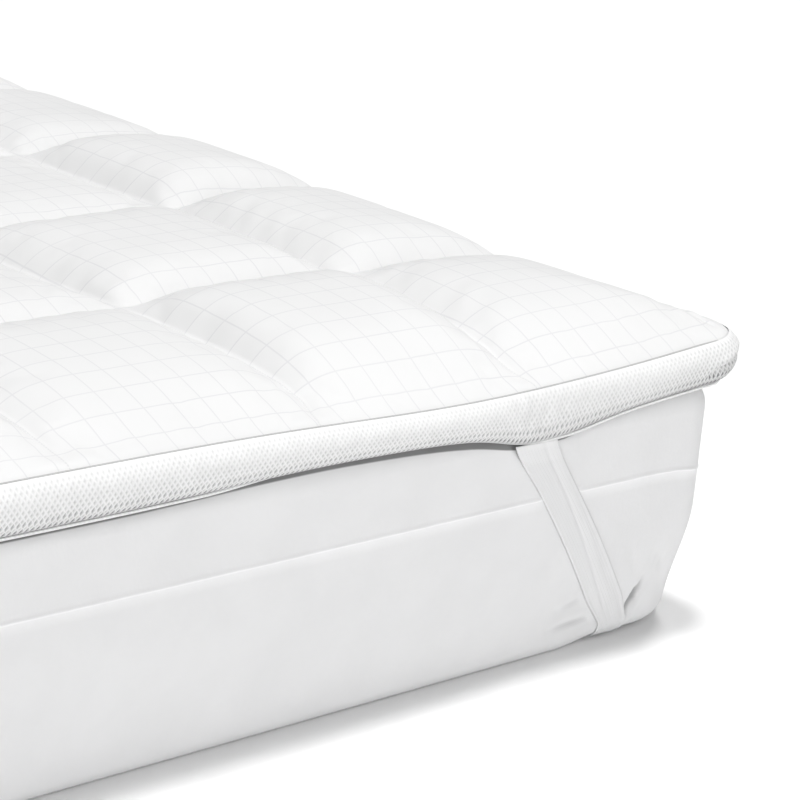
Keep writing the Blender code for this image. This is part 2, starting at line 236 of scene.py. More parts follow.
class ClothColours(PropertyGroup):
    """Colours of the cloths, as linear values."""

    quilt: a_colour("Quilted cotton", "Ground of the quilted face", 0.79, 0.79, 0.79)
    check: a_colour("Check lines", "Woven lines on the quilted face", 0.70, 0.70, 0.71)
    stitch: a_colour("Stitches", "Thread of the quilting seams", 0.71, 0.71, 0.72)
    mesh: a_colour("Spacer mesh", "Threads of the border band", 0.87, 0.87, 0.87)
    # Painted shade: the band's holes are painted this dark, for the shade inside them
    mesh_hole_shade: a_colour("Mesh holes", "Depth of the border band's holes", 0.05, 0.05, 0.055)
    top_piping: a_colour("Top piping", "Seam above the border band", 0.52, 0.52, 0.52)
    low_piping: a_colour("Bottom piping", "Seam below the border band", 0.92, 0.92, 0.92)
    webbing: a_colour("Elastic", "Corner straps", 0.755, 0.755, 0.76)
    jersey: a_colour("Jersey", "Mattress cover", 0.775, 0.775, 0.78)
    floor: a_colour("Floor", "Studio floor", 0.96, 0.96, 0.96)


class StudioSettings(PropertyGroup):
    """Camera and light."""

    lens: a_number("Lens", "Focal length in millimetres", 123.75)
    azimuth: an_angle("Azimuth", "0 looks along +Y", -0.76276)
    elevation: an_angle("Elevation", "Above the horizon", 0.30357)
    roll: an_angle("Roll", "About the line of sight", 0.09075)
    sky: a_number("Sky", "Strength of the white surroundings", 0.145)
    key: a_number("Key light", "Strength of the light in front", 1.115)
    top: a_number("Top light", "Strength of the high light on the right", 0.868)
    overhead: a_number("Overhead light", "Strength of the light above", 1.755)
    near: a_number("Near light", "Watts of the lamp in front", 7.0)
    softness: an_angle("Softness", "Width of the key light", 0.9)
    top_softness: an_angle("Top softness", "Width of both high lights", 0.15)


CAMERA_PLACE = (-1.19335, -2.56539, 1.10257)
SENSOR = 36.0


def groups():
    """(mattress sizes, topper sizes, strap sizes, colours) of the scene."""
    scene = bpy.context.scene
    return scene.mattress_sizes, scene.topper_sizes, scene.strap_sizes, scene.cloth_colours


# Shapes that several pieces share


def smooth_step(value):
    held = np.clip(value, 0.0, 1.0)
    return held * held * (3.0 - 2.0 * held)


def bell(distance, spread):
    return np.exp(-((distance / spread) ** 2))


def hill(distance, form):
    """A bell shape of a height, a place and a spread."""
    height, place, spread = form
    return height * bell(distance - place, spread)


def mirrored(along, total):
    """Lengths round a closed line, counted up one way and down the other, so that cloth has no step."""
    return np.minimum(along, total - along)


def sunk_at_corner(distance):
    return smooth_step((SUNK_CORNER - distance) / SUNK_CORNER_RAMP)


def ripple(points, scale, seed):
    """Smooth noise from -1 to 1 at each point, with folds about as wide as scale."""
    shift = Vector((17.3 * seed, -9.1 * seed, 4.7 * seed))
    flat = np.asarray(points, float).reshape(-1, 3) / scale
    found = np.array([noise.noise(Vector(p) + shift) for p in flat])
    return found.reshape(np.shape(points)[:-1])


def on_cloth(first, second):
    """Points of a flat cloth."""
    first, second = np.broadcast_arrays(first, second)
    return np.stack([first, second, np.zeros(first.shape)], axis=-1)


def ripple_of(first, second, scale, seed):
    return ripple(on_cloth(first, second), scale, seed)


class Outline:
    """The border's seams seen from above: a rectangle with round corners round the mattress."""

    def __init__(self):
        _, topper, _, _ = groups()
        low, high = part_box("mattress")
        self.top = high.z
        self.length = high.x - low.x - 2 * COVER_SEAM_PROUD + 2 * topper.overhang
        self.width = high.y - low.y - 2 * COVER_SEAM_PROUD + 2 * topper.overhang
        self.corner = topper.corner
        self.band_height = topper.band_height
        self.bulge = topper.band_bulge
        self.piping = topper.low_piping
        self.strap_place = bpy.context.scene.strap_sizes.top_place
        self.straight_x, self.straight_y = self.length - 2 * self.corner, self.width - 2 * self.corner
        self.arc = math.pi / 2 * self.corner
        self.round_length = 2 * (self.straight_x + self.straight_y) + 4 * self.arc

    def from_corner(self, x, y):
        """Distance from the nearest corner, along the side."""
        return np.maximum(self.length / 2 - np.abs(x), self.width / 2 - np.abs(y))

    def rounded(self, x, y):
        """Points of a square grid, moved so that the grid's corners become round."""
        centre_x, centre_y = self.length / 2 - self.corner, self.width / 2 - self.corner
        past_x, past_y = np.maximum(abs(x) - centre_x, 0.0), np.maximum(abs(y) - centre_y, 0.0)
        both = (past_x > 0) & (past_y > 0)
        scale = np.where(both, np.maximum(past_x, past_y) / np.maximum(np.hypot(past_x, past_y), 1e-9), 1.0)
        flat_x = np.where(both, np.sign(x) * (centre_x + past_x * scale), x)
        flat_y = np.where(both, np.sign(y) * (centre_y + past_y * scale), y)
        return flat_x, flat_y

    def edge_walk(self, xs, ys):
        """(point, direction outward, distance from the corner) round the grid's edge."""
        low_x, high_x = np.full(len(ys) - 1, xs[0]), np.full(len(ys) - 1, xs[-1])
        low_y, high_y = np.full(len(xs) - 1, ys[0]), np.full(len(xs) - 1, ys[-1])
        x = np.concatenate([xs[:-1], high_x, xs[:0:-1], low_x])
        y = np.concatenate([low_y, ys[:-1], high_y, ys[:0:-1]])
        return self.walk_of(x, y)

    def walk_of(self, x, y):
        flat = np.stack(self.rounded(x, y), axis=-1)
        centre = np.array([self.length / 2 - self.corner, self.width / 2 - self.corner])
        past = np.maximum(np.abs(np.stack([x, y], axis=-1)) - centre, 0.0)
        straight_x = (np.abs(x) / self.length > np.abs(y) / self.width) & (past.min(-1) == 0)
        straight_y = ~straight_x & (past.min(-1) == 0)
        past[straight_x] = (1, 0)
        past[straight_y] = (0, 1)
        out = past / np.linalg.norm(past, axis=-1, keepdims=True) * np.sign(np.stack([x, y], axis=-1))
        return flat, out, self.from_corner(x, y)

    def even_walk(self, count, shift=0.0):
        """The same at count places an even step apart, with their lengths along the outline."""
        along = (np.arange(count) + shift) / count * self.round_length % self.round_length
        x, y = np.zeros(count), np.zeros(count)
        start = 0.0
        long, short, arc = self.straight_x, self.straight_y, self.arc
        sides = (((1, 0), (0, -1), long), ((0, 1), (1, 0), short))
        sides += (((-1, 0), (0, 1), long), ((0, -1), (-1, 0), short))
        half = np.array([self.length / 2, self.width / 2])
        for heading, outward, straight in sides:
            heading, outward = np.array(heading), np.array(outward)
            here = (along >= start) & (along < start + straight)
            step = (along[here] - start)[:, None] - straight / 2
            place = outward * half + heading * step
            x[here], y[here] = place.T
            start += straight
            here = (along >= start) & (along <= start + arc)
            angle = (along[here] - start) / self.corner
            ahead = self.corner * np.minimum(np.tan(np.minimum(angle, math.pi / 2 - 1e-9)), 1.0)
            back = self.corner * np.minimum(1.0 / np.maximum(np.tan(angle), 1e-9), 1.0)
            corner = outward * half + heading * half - (outward + heading) * self.corner
            place = corner + heading * ahead[:, None] + outward * back[:, None]
            x[here], y[here] = place.T
            start += arc
        return (*self.walk_of(x, y), along)

    def upper_seam(self, distance):
        return self.top + self.band_height - hill(distance, SEAM_PULL) + hill(distance, CORNER_RAISE)

    def lower_seam(self, distance):
        pull = STRAP_PULL * bell(distance - self.strap_place, STRAP_PULL_SPREAD) + hill(distance, STRAP_TUG)
        return self.top - pull + (hill(distance, CORNER_RAISE_LOW) + hill(distance, RIM_LIFT))

    def band_point(self, distance, cut):
        """(outward, height) of the border's face, from its upper seam at cut 0 to its lower one at 1."""
        pull = bell(distance - self.strap_place, STRAP_PULL_SPREAD)
        bulge = self.bulge * (1.0 - BAND_FLATTENED * pull)
        out = SEAM_REACH + bulge * np.maximum(4.0 * cut * (1.0 - cut), 0.0) ** BAND_BULGE_POWER
        top, low = self.upper_seam(distance), self.lower_seam(distance)
        return out, top + (low - top) * cut


def placed(flat, out, outward, height):
    """Points at a distance outward of the outline and at a height."""
    sideways = flat + out * np.asarray(outward)[..., None]
    return np.concatenate([sideways, np.broadcast_to(height, sideways.shape[:-1])[..., None]], axis=-1)


def ring_faces(rings, count, start=0, closed=False):
    """Quads between rings of count points, each ring's points numbered on from the last."""
    i = np.arange(rings if closed else rings - 1)[:, None] * count
    j = np.arange(count)[None, :]
    k = (j + 1) % count
    over = (i + count) % (rings * count)
    return np.stack([i + j, i + k, over + k, over + j], axis=-1).reshape(-1, 4) + start


def tube_faces(rings):
    """Faces of a tube through rings of points, with both ends capped."""
    count = len(rings[0])
    last = (len(rings) - 1) * count + np.arange(count)
    return [*ring_faces(len(rings), count).tolist(), np.arange(count)[::-1].tolist(), last.tolist()]


def add_piece(name, points, faces, finish, layers=()):
    """A smooth mesh object. layers holds named values for its points, which its finish reads."""
    mesh = bpy.data.meshes.new(name)
    mesh.from_pydata(np.asarray(points).reshape(-1, 3).tolist(), [], faces)
    for layer, values in dict(layers).items():
        values = np.asarray(values, np.float32)
        if values.ndim > 1:
            held = mesh.attributes.new(layer, "FLOAT_VECTOR", "POINT")
            held.data.foreach_set("vector", values.ravel())
        else:
            held = mesh.attributes.new(layer, "FLOAT", "POINT")
            held.data.foreach_set("value", values)
    mesh.validate()
    mesh.shade_smooth()
    mesh.materials.append(finish)
    piece = bpy.data.objects.new(name, mesh)
    bpy.context.scene.collection.objects.link(piece)
    return piece


def dress(piece, slot, *nodes):
    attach(piece, "root")
    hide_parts(*nodes)


# Finishes


class Finish:
    """A cloth's node material, built up from small steps."""

    def __init__(self, name, roughness, sheen=0.0):
        self.material = bpy.data.materials.new(name)
        self.material.use_nodes = True
        self.tree = self.material.node_tree
        self.shader = self.tree.nodes["Principled BSDF"]
        self.shader.inputs["Roughness"].default_value = roughness
        self.shader.inputs["Sheen Weight"].default_value = sheen
        self.shader.inputs["Specular IOR Level"].default_value = 0.3

    def put(self, kind, inputs, **settings):
        node = self.tree.nodes.new(kind)
        for key, value in settings.items():
            setattr(node, key, value)
        for key, value in inputs.items():
            if isinstance(value, NodeSocket):
                self.tree.links.new(value, node.inputs[key])
            else:
                node.inputs[key].default_value = value
        return node

    def value(self, layer, kind="Vector"):
        """A named value of the mesh's points, read as a vector or, with Fac, as a number."""
        return self.put("ShaderNodeAttribute", {}, attribute_name=layer).outputs[kind]

    def math(self, operation, first, second=0.0):
        return self.put("ShaderNodeMath", {0: first, 1: second}, operation=operation).outputs[0]

    def range(self, value, low, high, to_low, to_high):
        inputs = {"Value": value, "From Min": low, "From Max": high, "To Min": to_low, "To Max": to_high}
        return self.put("ShaderNodeMapRange", inputs, interpolation_type="SMOOTHSTEP").outputs[0]

    def noise(self, vector, scale, detail=2.0):
        inputs = {"Vector": vector, "Scale": scale, "Detail": detail}
        return self.put("ShaderNodeTexNoise", inputs).outputs["Fac"]

    def patches(self, vector, scale, low, high):
        """A value that drifts over the cloth between low and high."""
        return self.range(self.noise(vector, scale), 0.3, 0.7, low, high)

    def wave(self, vector, scale, way, distortion=0.0):
        inputs = {"Vector": vector, "Scale": scale, "Distortion": distortion}
        return self.put("ShaderNodeTexWave", inputs, bands_direction=way).outputs["Fac"]

    def mix(self, share, first, second):
        inputs = {0: share, 6: first, 7: second}
        return self.put("ShaderNodeMix", inputs, data_type="RGBA").outputs[2]

    def shade(self, colour, share):
        """The colour multiplied by a share, where the share is a plain value for each point."""
        grey = self.put("ShaderNodeCombineColor", {0: share, 1: share, 2: share}).outputs[0]
        inputs = {0: 1.0, 6: colour, 7: grey}
        return self.put("ShaderNodeMix", inputs, data_type="RGBA", blend_type="MULTIPLY").outputs[2]

    def bump(self, height, depth, strength=1.0, normal=None):
        inputs = {"Height": height, "Distance": depth, "Strength": strength}
        if normal is not None:
            inputs["Normal"] = normal
        return self.put("ShaderNodeBump", inputs).outputs[0]

    def finish(self, colour, roughness, normal):
        for key, value in (("Base Color", colour), ("Roughness", roughness), ("Normal", normal)):
            self.tree.links.new(value, self.shader.inputs[key])
        return self.material


def opaque(colour):
    return (*colour, 1.0)


STITCH_WIDTH = 0.0010
STITCH_PITCH = 0.0036


def quilted_cotton():
    _, topper, _, colours = groups()
    made = Finish("quilted_cotton", 0.8, sheen=0.15)
    cloth = made.value("cloth")
    split = made.put("ShaderNodeSeparateXYZ", {0: cloth})
    half_line = topper.check_width / 2
    lines = []
    for axis in (0, 1):
        off = made.math("PINGPONG", split.outputs[axis], topper.check_pitch / 2)
        lines.append(made.range(off, half_line * 0.5, half_line * 1.5, 1.0, 0.0))
    line = made.math("MAXIMUM", *lines)
    worn = made.patches(cloth, 9.0, 0.75, 1.0)
    line = made.math("MULTIPLY", line, worn)
    colour = made.mix(line, opaque(colours.quilt), opaque(colours.check))
    from_seams = made.put("ShaderNodeSeparateXYZ", {0: made.value("sewn")})
    stitches = []
    for axis in (0, 1):
        beside = made.range(from_seams.outputs[axis], 0.4 * STITCH_WIDTH, STITCH_WIDTH, 1.0, 0.0)
        off = made.math("PINGPONG", split.outputs[1 - axis], STITCH_PITCH / 2)
        dash = made.range(off, 0.30 * STITCH_PITCH, 0.42 * STITCH_PITCH, 1.0, 0.0)
        stitches.append(made.math("MULTIPLY", beside, dash))
    stitch = made.math("MAXIMUM", *stitches)
    colour = made.mix(stitch, colour, opaque(colours.stitch))
    mottle = made.range(made.noise(cloth, 5.0, 4.0), 0.25, 0.75, 0.975, 1.0)
    colour = made.shade(colour, mottle)
    weave = made.math("MULTIPLY", *[made.wave(cloth, 320.0, way) for way in ("X", "Y")])
    fine = made.bump(weave, 0.0001, 0.35)
    fine = made.bump(stitch, 0.0004, 0.6, fine)
    crease = made.bump(made.noise(cloth, 70.0, 3.0), 0.0006, 0.5, fine)
    rough = made.patches(cloth, 40.0, 0.74, 0.88)
    return made.finish(colour, rough, crease)


def spacer_mesh():
    _, _, _, colours = groups()
    made = Finish("spacer_mesh", 0.75, sheen=0.10)
    cloth = made.value("cloth")
    depth = made.value("depth", "Fac")
    # The depth value paints shade into the holes, and onto the knots by the bottom seam
    colour = made.mix(depth, opaque(colours.mesh), opaque(colours.mesh_hole_shade))
    colour = made.shade(colour, made.patches(cloth, 60.0, 0.96, 1.0))
    normal = made.bump(made.wave(cloth, 300.0, "X"), 0.0001, 0.4)
    normal = made.bump(made.noise(cloth, 900.0), 0.0001, 0.4, normal)
    rough = made.patches(cloth, 200.0, 0.68, 0.82)
    return made.finish(colour, rough, normal)


def seam_piping(name, tint):
    made = Finish(name, 0.65, sheen=0.10)
    cloth = made.value("cloth")
    twist = made.wave(cloth, 130.0, "DIAGONAL", distortion=0.4)
    colour = made.mix(twist, opaque(tint), opaque([0.92 * c for c in tint]))
    normal = made.bump(twist, 0.0003, 0.8)
    rough = made.range(twist, 0.0, 1.0, 0.6, 0.72)
    return made.finish(colour, rough, normal)


def elastic_webbing():
    _, _, _, colours = groups()
    made = Finish("elastic_webbing", 0.6, sheen=0.10)
    cloth = made.value("cloth")
    ribs = made.wave(cloth, 140.0, "X")
    weave = made.math("MULTIPLY", ribs, made.wave(cloth, 260.0, "Y"))
    colour = made.mix(ribs, opaque([0.975 * c for c in colours.webbing]), opaque(colours.webbing))
    normal = made.bump(weave, 0.0002, 0.5)
    rough = made.patches(cloth, 120.0, 0.52, 0.68)
    return made.finish(colour, rough, normal)


def jersey_cover():
    _, _, _, colours = groups()
    made = Finish("jersey_cover", 0.85, sheen=0.12)
    cloth = made.value("cloth")
    seam = made.value("seam", "Fac")
    mottle = made.range(made.noise(cloth, 14.0, 5.0), 0.25, 0.75, 0.965, 1.0)
    # Painted highlight: the cover's seam is painted lighter than the jersey, on top of the light its raised
    # ridge catches
    light = [min(0.97, 1.18 * c) for c in colours.jersey]
    colour = made.shade(made.mix(seam, opaque(colours.jersey), opaque(light)), mottle)
    # Painted shade: the cover is darkened in the gap under the border and in the depth of its creases
    for layer, (low, high, shade) in (("recess_shade", RECESS_PAINTED_SHADE), ("fold", FOLD_PAINTED_SHADE)):
        colour = made.shade(colour, made.range(made.value(layer, "Fac"), low, high, 1.0, shade))
    normal = made.bump(made.wave(cloth, 240.0, "X", distortion=1.0), 0.0001, 0.3)
    normal = made.bump(made.noise(cloth, 160.0, 3.0), 0.0004, 0.4, normal)
    rough = made.patches(cloth, 60.0, 0.80, 0.92)
    return made.finish(colour, rough, normal)


# Quilted pad


def seam_lines(length, squares, end):
    """Places of the quilting seams along one side, from edge to edge."""
    inner = np.linspace(end - length / 2, length / 2 - end, squares - 1)
    return np.concatenate([[-length / 2], inner, [length / 2]])


def quilt_lines(seams, steps, end_steps):
    """Grid lines from edge to edge, closer together at each seam and closest at the border."""
    lines = []
    for low, high in zip(seams, seams[1:]):
        ends = low == seams[0] or high == seams[-1]
        fine = np.linspace(low, high, 500)
        from_seam = np.minimum(fine - low, high - fine)
        from_rim = np.minimum(fine - seams[0], seams[-1] - fine)
        density = 1.0 + SEAM_CROWDING * np.exp(-from_seam / SEAM_CROWDING_REACH)
        density += RIM_CROWDING * np.exp(-from_rim / RIM_CROWDING_REACH)
        share = np.concatenate([[0.0], np.cumsum(density[1:] + density[:-1])])
        count = end_steps if ends else steps
        lines.append(np.interp(np.arange(count) / count, share / share[-1], fine))
    return np.concatenate([*lines, seams[-1:]])


def in_square(value, seams):
    """(number of the square between these seams, place from 0 to 1 in it)."""
    number = np.clip(np.searchsorted(seams, value, side="right") - 1, 0, len(seams) - 2)
    low, high = seams[number], seams[number + 1]
    return number, np.clip((value - low) / (high - low), 0.0, 1.0)


def puff(place):
    return 1.0 - np.abs(2.0 * place - 1.0) ** PUFF_POWER


def crease(x, y, start, end, half_width, depth):
    """A fold along a line: a valley with a lower ridge beside it."""
    start, end = np.array(start), np.array(end)
    run = end - start
    length = np.hypot(*run)
    share = np.clip(((x - start[0]) * run[0] + (y - start[1]) * run[1]) / length**2, 0.0, 1.0)
    aside = ((x - start[0]) * run[1] - (y - start[1]) * run[0]) / length
    past = np.hypot(x - start[0] - share * run[0], y - start[1] - share * run[1])
    valley = bell(past, half_width) * (0.35 + 0.65 * np.sin(math.pi * np.clip(share, 0.08, 0.92)))
    ridge = bell(past, 2 * half_width) * bell(aside - 2 * half_width, half_width)
    return depth * (0.45 * ridge - valley)


class Quilt:
    """The quilted face: its seams, its filled squares and its small creases."""

    def __init__(self, outline):
        topper = groups()[1]
        self.outline = outline
        self.topper = topper
        self.columns = seam_lines(outline.length, topper.columns, topper.end_column)
        self.rows = seam_lines(outline.width, topper.rows, outline.width / topper.rows)

    def edge(self, x, y):
        return np.minimum(self.outline.length / 2 - np.abs(x), self.outline.width / 2 - np.abs(y))

    def from_seams(self, x, y):
        """Distance from the nearest seam of each kind, the border's own aside."""
        return (
            np.min([np.abs(x - seam) for seam in self.columns[1:-1]], axis=0),
            np.min([np.abs(y - seam) for seam in self.rows[1:-1]], axis=0),
        )

    def filling(self, column, row):
        uneven = PUFF_UNEVEN * np.sin(UNEVEN_BY_COLUMN * column + UNEVEN_BY_ROW * row)
        last = len(self.columns) - 2
        for (from_right, from_front), more in SQUARE_FILLING.items():
            uneven = np.where((column == last - from_right) & (row == from_front), more, uneven)
        return uneven

    def height(self, x, y):
        """Height of the filled face over the mattress."""
        column, across = in_square(x, self.columns)
        row, along = in_square(y, self.rows)
        edge = np.maximum(self.edge(x, y), 0.0)
        distance = self.outline.from_corner(x, y)
        level = self.outline.top + self.outline.band_height
        base = level + (self.outline.upper_seam(distance) - level) * smooth_step(1.0 - edge / EDGE_BLEND)
        inner = 1.0 - np.exp(-((edge / FILLING_RISE_REACH) ** FILLING_RISE_POWER))
        lean_x, lean_y = across ** CREST_LEAN[0], along ** CREST_LEAN[1]
        sag = 4.0 * across * (1.0 - across) * (1.0 - puff(lean_y))
        sag += 4.0 * along * (1.0 - along) * (1.0 - puff(lean_x))
        full = hill(distance, CORNER_FULLNESS)
        rim = 1.0 - np.exp(-((edge / CROWN_REACH) ** CROWN_POWER))
        crown = (self.topper.puff_height + self.filling(column, row)) * puff(lean_x) * puff(lean_y) * rim
        roll = RIM_ROLL * (1.0 - np.exp(-edge / RIM_ROLL_START)) * np.exp(-edge / RIM_ROLL_REACH)
        return base + inner * (self.topper.filling_rise - SEAM_SAG * sag + full) + crown + roll

    def sewn_off(self, x, y):
        """How far the seams, and the squares between them, lie off their lines."""
        off_x = OTHER_SEAMS_OFF * np.sin(3.1 * y + 5.0 * x)
        off_y = OTHER_SEAMS_OFF * np.sin(2.7 * x + 6.0 * y)
        right = smooth_step((x - SEAMS_OFF_FROM) / SEAMS_OFF_RAMP)
        lean = np.clip((y - self.rows[1]) / (self.rows[1] - self.rows[0]), -1.0, 1.0)
        for near_one, (off, slant) in zip(np.eye(len(self.columns))[-2::-1], COLUMN_SEAM_OFF):
            off_x = off_x + right * np.interp(x, self.columns, near_one) * (off + slant * lean)
        lean = np.clip((x - self.columns[-2]) / self.topper.end_column, -1.0, 1.0)
        for near_one, (off, slant) in zip(np.eye(len(self.rows))[1:], ROW_SEAM_OFF):
            off_y = off_y + right * np.interp(y, self.rows, near_one) * (off + slant * lean)
        inside = smooth_step(self.edge(x, y) / SEAMS_OFF_EDGE)
        return off_x * inside, off_y * inside

    def face(self, x, y):
        """Points of the filled face over the places of its flat cloth."""
        off_x, off_y = self.sewn_off(x, y)
        flat_x, flat_y = self.outline.rounded(x, y)
        face = np.stack([flat_x + off_x, flat_y + off_y, self.height(x, y)], axis=-1)
        inset = PAD_INSET - (PAD_INSET + CORNER_OVERLAP) * sunk_at_corner(self.outline.from_corner(x, y))
        inset = (inset * smooth_step(1.0 - self.edge(x, y) / EDGE_BLEND))[..., None]
        face[..., :2] *= 1.0 - 2 * inset / np.array([self.outline.length, self.outline.width])
        return face

    def puckers(self, x, y):
        """Small folds where the seams gather the cloth, and round the border."""
        edge = np.maximum(self.edge(x, y), 0.0)
        seam_x, seam_y = self.from_seams(x, y)
        held = smooth_step(edge / PUCKER_START)
        beside_x, beside_y = (SEAM_PUCKER * np.exp(-seam / SEAM_PUCKER_SPREAD) for seam in (seam_x, seam_y))
        small = beside_x * ripple_of(seam_x * 0.3, y, PUCKER_WIDTH, 1)
        small += beside_y * ripple_of(x, seam_y * 0.3, PUCKER_WIDTH, 2)
        rim = np.exp(-edge / RIM_PUCKER_SPREAD)
        long_side = self.outline.width / 2 - np.abs(y) < self.outline.length / 2 - np.abs(x)
        round_place = np.where(long_side, x, y + 7.0)
        ends = np.exp(-np.minimum(seam_x, seam_y) / SEAM_END_REACH)
        rim = RIM_PUCKER * rim * (0.35 + 1.2 * ends)
        small += rim * ripple_of(round_place, edge * 0.35, PUCKER_WIDTH, 3)
        corner_x, corner_y = self.outline.length / 2 - np.abs(x), self.outline.width / 2 - np.abs(y)
        near = np.maximum(corner_x, corner_y) < CORNER_CREASE_REACH
        for start, end, half_width, depth in CORNER_CREASES:
            small[near] += crease(corner_x[near], corner_y[near], start, end, half_width, depth)
        return small * held


def grid_faces(rows, columns):
    points = np.arange(rows * columns).reshape(rows, columns)
    corners = [points[:-1, :-1], points[:-1, 1:], points[1:, 1:], points[1:, :-1]]
    return np.stack(corners, axis=-1).reshape(-1, 4)


def spread_over(coarse, fine):
    """Weights that carry values at the coarse lines to the fine ones along a smooth curve."""
    last = len(coarse) - 1
    cell = np.clip(np.searchsorted(coarse, fine, side="right") - 1, 0, last - 1)
    t = (fine - coarse[cell]) / (coarse[cell + 1] - coarse[cell])
    shares = (-t + 2 * t**2 - t**3, 2 - 5 * t**2 + 3 * t**3, t + 4 * t**2 - 3 * t**3, t**3 - t**2)
    weights = np.zeros((len(fine), len(coarse)))
    for step, share in zip((-1, 0, 1, 2), shares):
        np.add.at(weights, (np.arange(len(fine)), np.clip(cell + step, 0, last)), share / 2)
    return weights


def smoothed(values, rounds):
    """Values of a grid, each averaged with its neighbours again and again."""
    for _ in range(rounds):
        for axis in (0, 1):
            count = values.shape[axis]
            before = np.take(values, np.maximum(np.arange(count) - 1, 0), axis)
            after = np.take(values, np.minimum(np.arange(count) + 1, count - 1), axis)
            values = (before + 2 * values + after) / 4
    return values


def swelling(quilt, xs, ys):
    """How far the cloth of the face moves at each line, when it is blown up between its seams."""
    lines = [
        np.unique(np.concatenate([np.linspace(*ends, CLOTH_STEPS + 1) for ends in zip(seams, seams[1:])]))
        for seams in (quilt.columns, quilt.rows)
    ]
    x, y = np.meshgrid(*lines)
    rest = quilt.face(x, y)
    rest[..., 2] += CLOTH_START * ripple_of(x, y, CLOTH_START_WIDTH, 8)
    mesh = bpy.data.meshes.new("face_cloth")
    mesh.from_pydata(rest.reshape(-1, 3).tolist(), [], grid_faces(*x.shape).tolist())
    piece = bpy.data.objects.new("face_cloth", mesh)
    scene = bpy.context.scene
    scene.collection.objects.link(piece)
    held = piece.vertex_groups.new(name="sewn")
    from_seam = np.minimum(np.minimum(*quilt.from_seams(x, y)), quilt.edge(x, y)).ravel()
    held.add(np.flatnonzero(from_seam < 0.001).tolist(), 1.0, "REPLACE")
    cloth = piece.modifiers.new("cloth", "CLOTH")
    cloth.point_cache.frame_start, cloth.point_cache.frame_end = 1, CLOTH_FRAMES
    for key, value in CLOTH_SETTINGS.items():
        setattr(cloth.settings, key, value)
    cloth.settings.vertex_group_mass = held.name
    cloth.settings.effector_weights.gravity = 0.0
    for frame_number in range(1, CLOTH_FRAMES + 1):
        scene.frame_set(frame_number)
    found = piece.evaluated_get(bpy.context.evaluated_depsgraph_get()).data
    swollen = np.zeros(len(found.vertices) * 3, np.float32)
    found.vertices.foreach_get("co", swollen)
    scene.frame_set(1)
    bpy.data.objects.remove(piece)
    moved = swollen.reshape(rest.shape) - rest
    moved -= smoothed(moved, CLOTH_EVEN_ROUNDS)
    reach = np.linalg.norm(moved, axis=-1, keepdims=True)
    moved *= CLOTH_SHARE * CLOTH_CAP * np.tanh(reach / CLOTH_CAP) / np.maximum(reach, 1e-9)
    weights = spread_over(lines[1], ys), spread_over(lines[0], xs)
    return np.einsum("yj,xi,jik->yxk", *weights, moved, optimize=True)


def quilted_pad():
    outline = Outline()
    quilt = Quilt(outline)
    xs = quilt_lines(quilt.columns, SQUARE_STEPS[0], END_SQUARE_STEPS[0])
    ys = quilt_lines(quilt.rows, SQUARE_STEPS[1], END_SQUARE_STEPS[1])
    x, y = np.meshgrid(xs, ys)
    top = quilt.face(x, y)
    top[..., 2] += quilt.puckers(x, y)
    top += swelling(quilt, xs, ys)
    off_x, off_y = quilt.sewn_off(x, y)
    cloth = on_cloth(x + off_x, y + off_y)
    sewn = on_cloth(*quilt.from_seams(x, y))

    rows, columns = x.shape
    number = np.arange(rows * columns).reshape(rows, columns)
    faces = grid_faces(rows, columns)
    rim = np.concatenate([number[0, :-1], number[:-1, -1], number[-1, :0:-1], number[:0:-1, 0]])

    walk = outline.edge_walk(xs, ys)
    rings = []
    for cut in SIDE_CUTS[1:]:
        out, side_height = outline.band_point(walk[2], cut)
        rings.append(placed(walk[0], walk[1], out - BAND_BACKING, side_height))
    resting = outline.top + GAP
    for lip, share in UNDER_LIP:
        low = resting + (outline.lower_seam(walk[2]) - resting) * share
        rings.append(placed(walk[0], walk[1], np.full(len(low), -lip), low))
    rings = np.array(rings)
    count = len(rim)
    first = rows * columns
    ring = np.arange(count)
    joint = np.stack([rim, first + ring, first + (ring + 1) % count, np.roll(rim, -1)], axis=-1)
    side = ring_faces(len(rings), count, first)[:, ::-1]
    bottom = first + (len(rings) - 1) * count + ring
    all_faces = faces.tolist() + joint.tolist() + side.tolist() + [bottom[::-1].tolist()]
    points = np.concatenate([top.reshape(-1, 3), rings.reshape(-1, 3)])
    layers = {
        "cloth": np.concatenate([cloth.reshape(-1, 3), rings.reshape(-1, 3)]),
        "sewn": np.concatenate([sewn.reshape(-1, 3), np.full((rings.size // 3, 3), 1.0)]),
    }
    piece = add_piece("quilted_pad", points, all_faces, quilted_cotton(), layers)
    dress(piece, "quilted_cotton", "topper_body")
    return piece


# Border band


BAND_ARC = 1.15  # way over the bulge from seam to seam, by the band's height
HOLE_HALF_WIDTH = 0.0008
HOLE_HALF_HEIGHT = 0.0016
RIB_WIDER = 0.0006
# Share of a hole's painted shade that its rim gets
HOLE_RIM_PAINTED_SHADE = 0.5
HOLE_DEPTH = 0.0019
# By cut: how dark a hole and a knot are painted. By its bottom seam the band lies in its own shade, and that
# shade is painted in here.
HOLE_PAINTED_SHADES = ((0.0, 0.40, 0.60, 0.78, 0.92), (0.22, 0.28, 0.52, 0.92, 1.0))
KNOT_PAINTED_SHADES = ((0.0, 0.55, 0.8, 0.93, 1.0), (0.0, 0.0, 0.06, 0.16, 0.50))
# The last rows by the bottom seam: half height and share of that painted shade, the last one first
RIB_ROWS = ((0.0042, 1.0), (0.0012, 0.5), (0.0036, 0.9), (0.0016, 0.7))
HOLE_SLANT = 0.0004
CORNER_PAINTED_SHADE = (0.9, 0.0, 0.10)  # the band's holes and knots are painted darker round a corner, a painted shade
NODE_PROUD = 0.0004
STRAP_WRINKLE = 0.0011
STRAP_WRINKLE_SPREAD = 0.055
STRAP_WRINKLE_PITCH = 0.021
BAND_RIPPLE = 0.0007
CORNER_FOLD = 0.0045
CORNER_FOLD_HALF = 0.0036
CORNER_FOLD_END = 0.012
CORNER_FOLD_RUN = ((-0.066, 0.70), (0.018, 0.33))  # along from the corner's middle, and cut


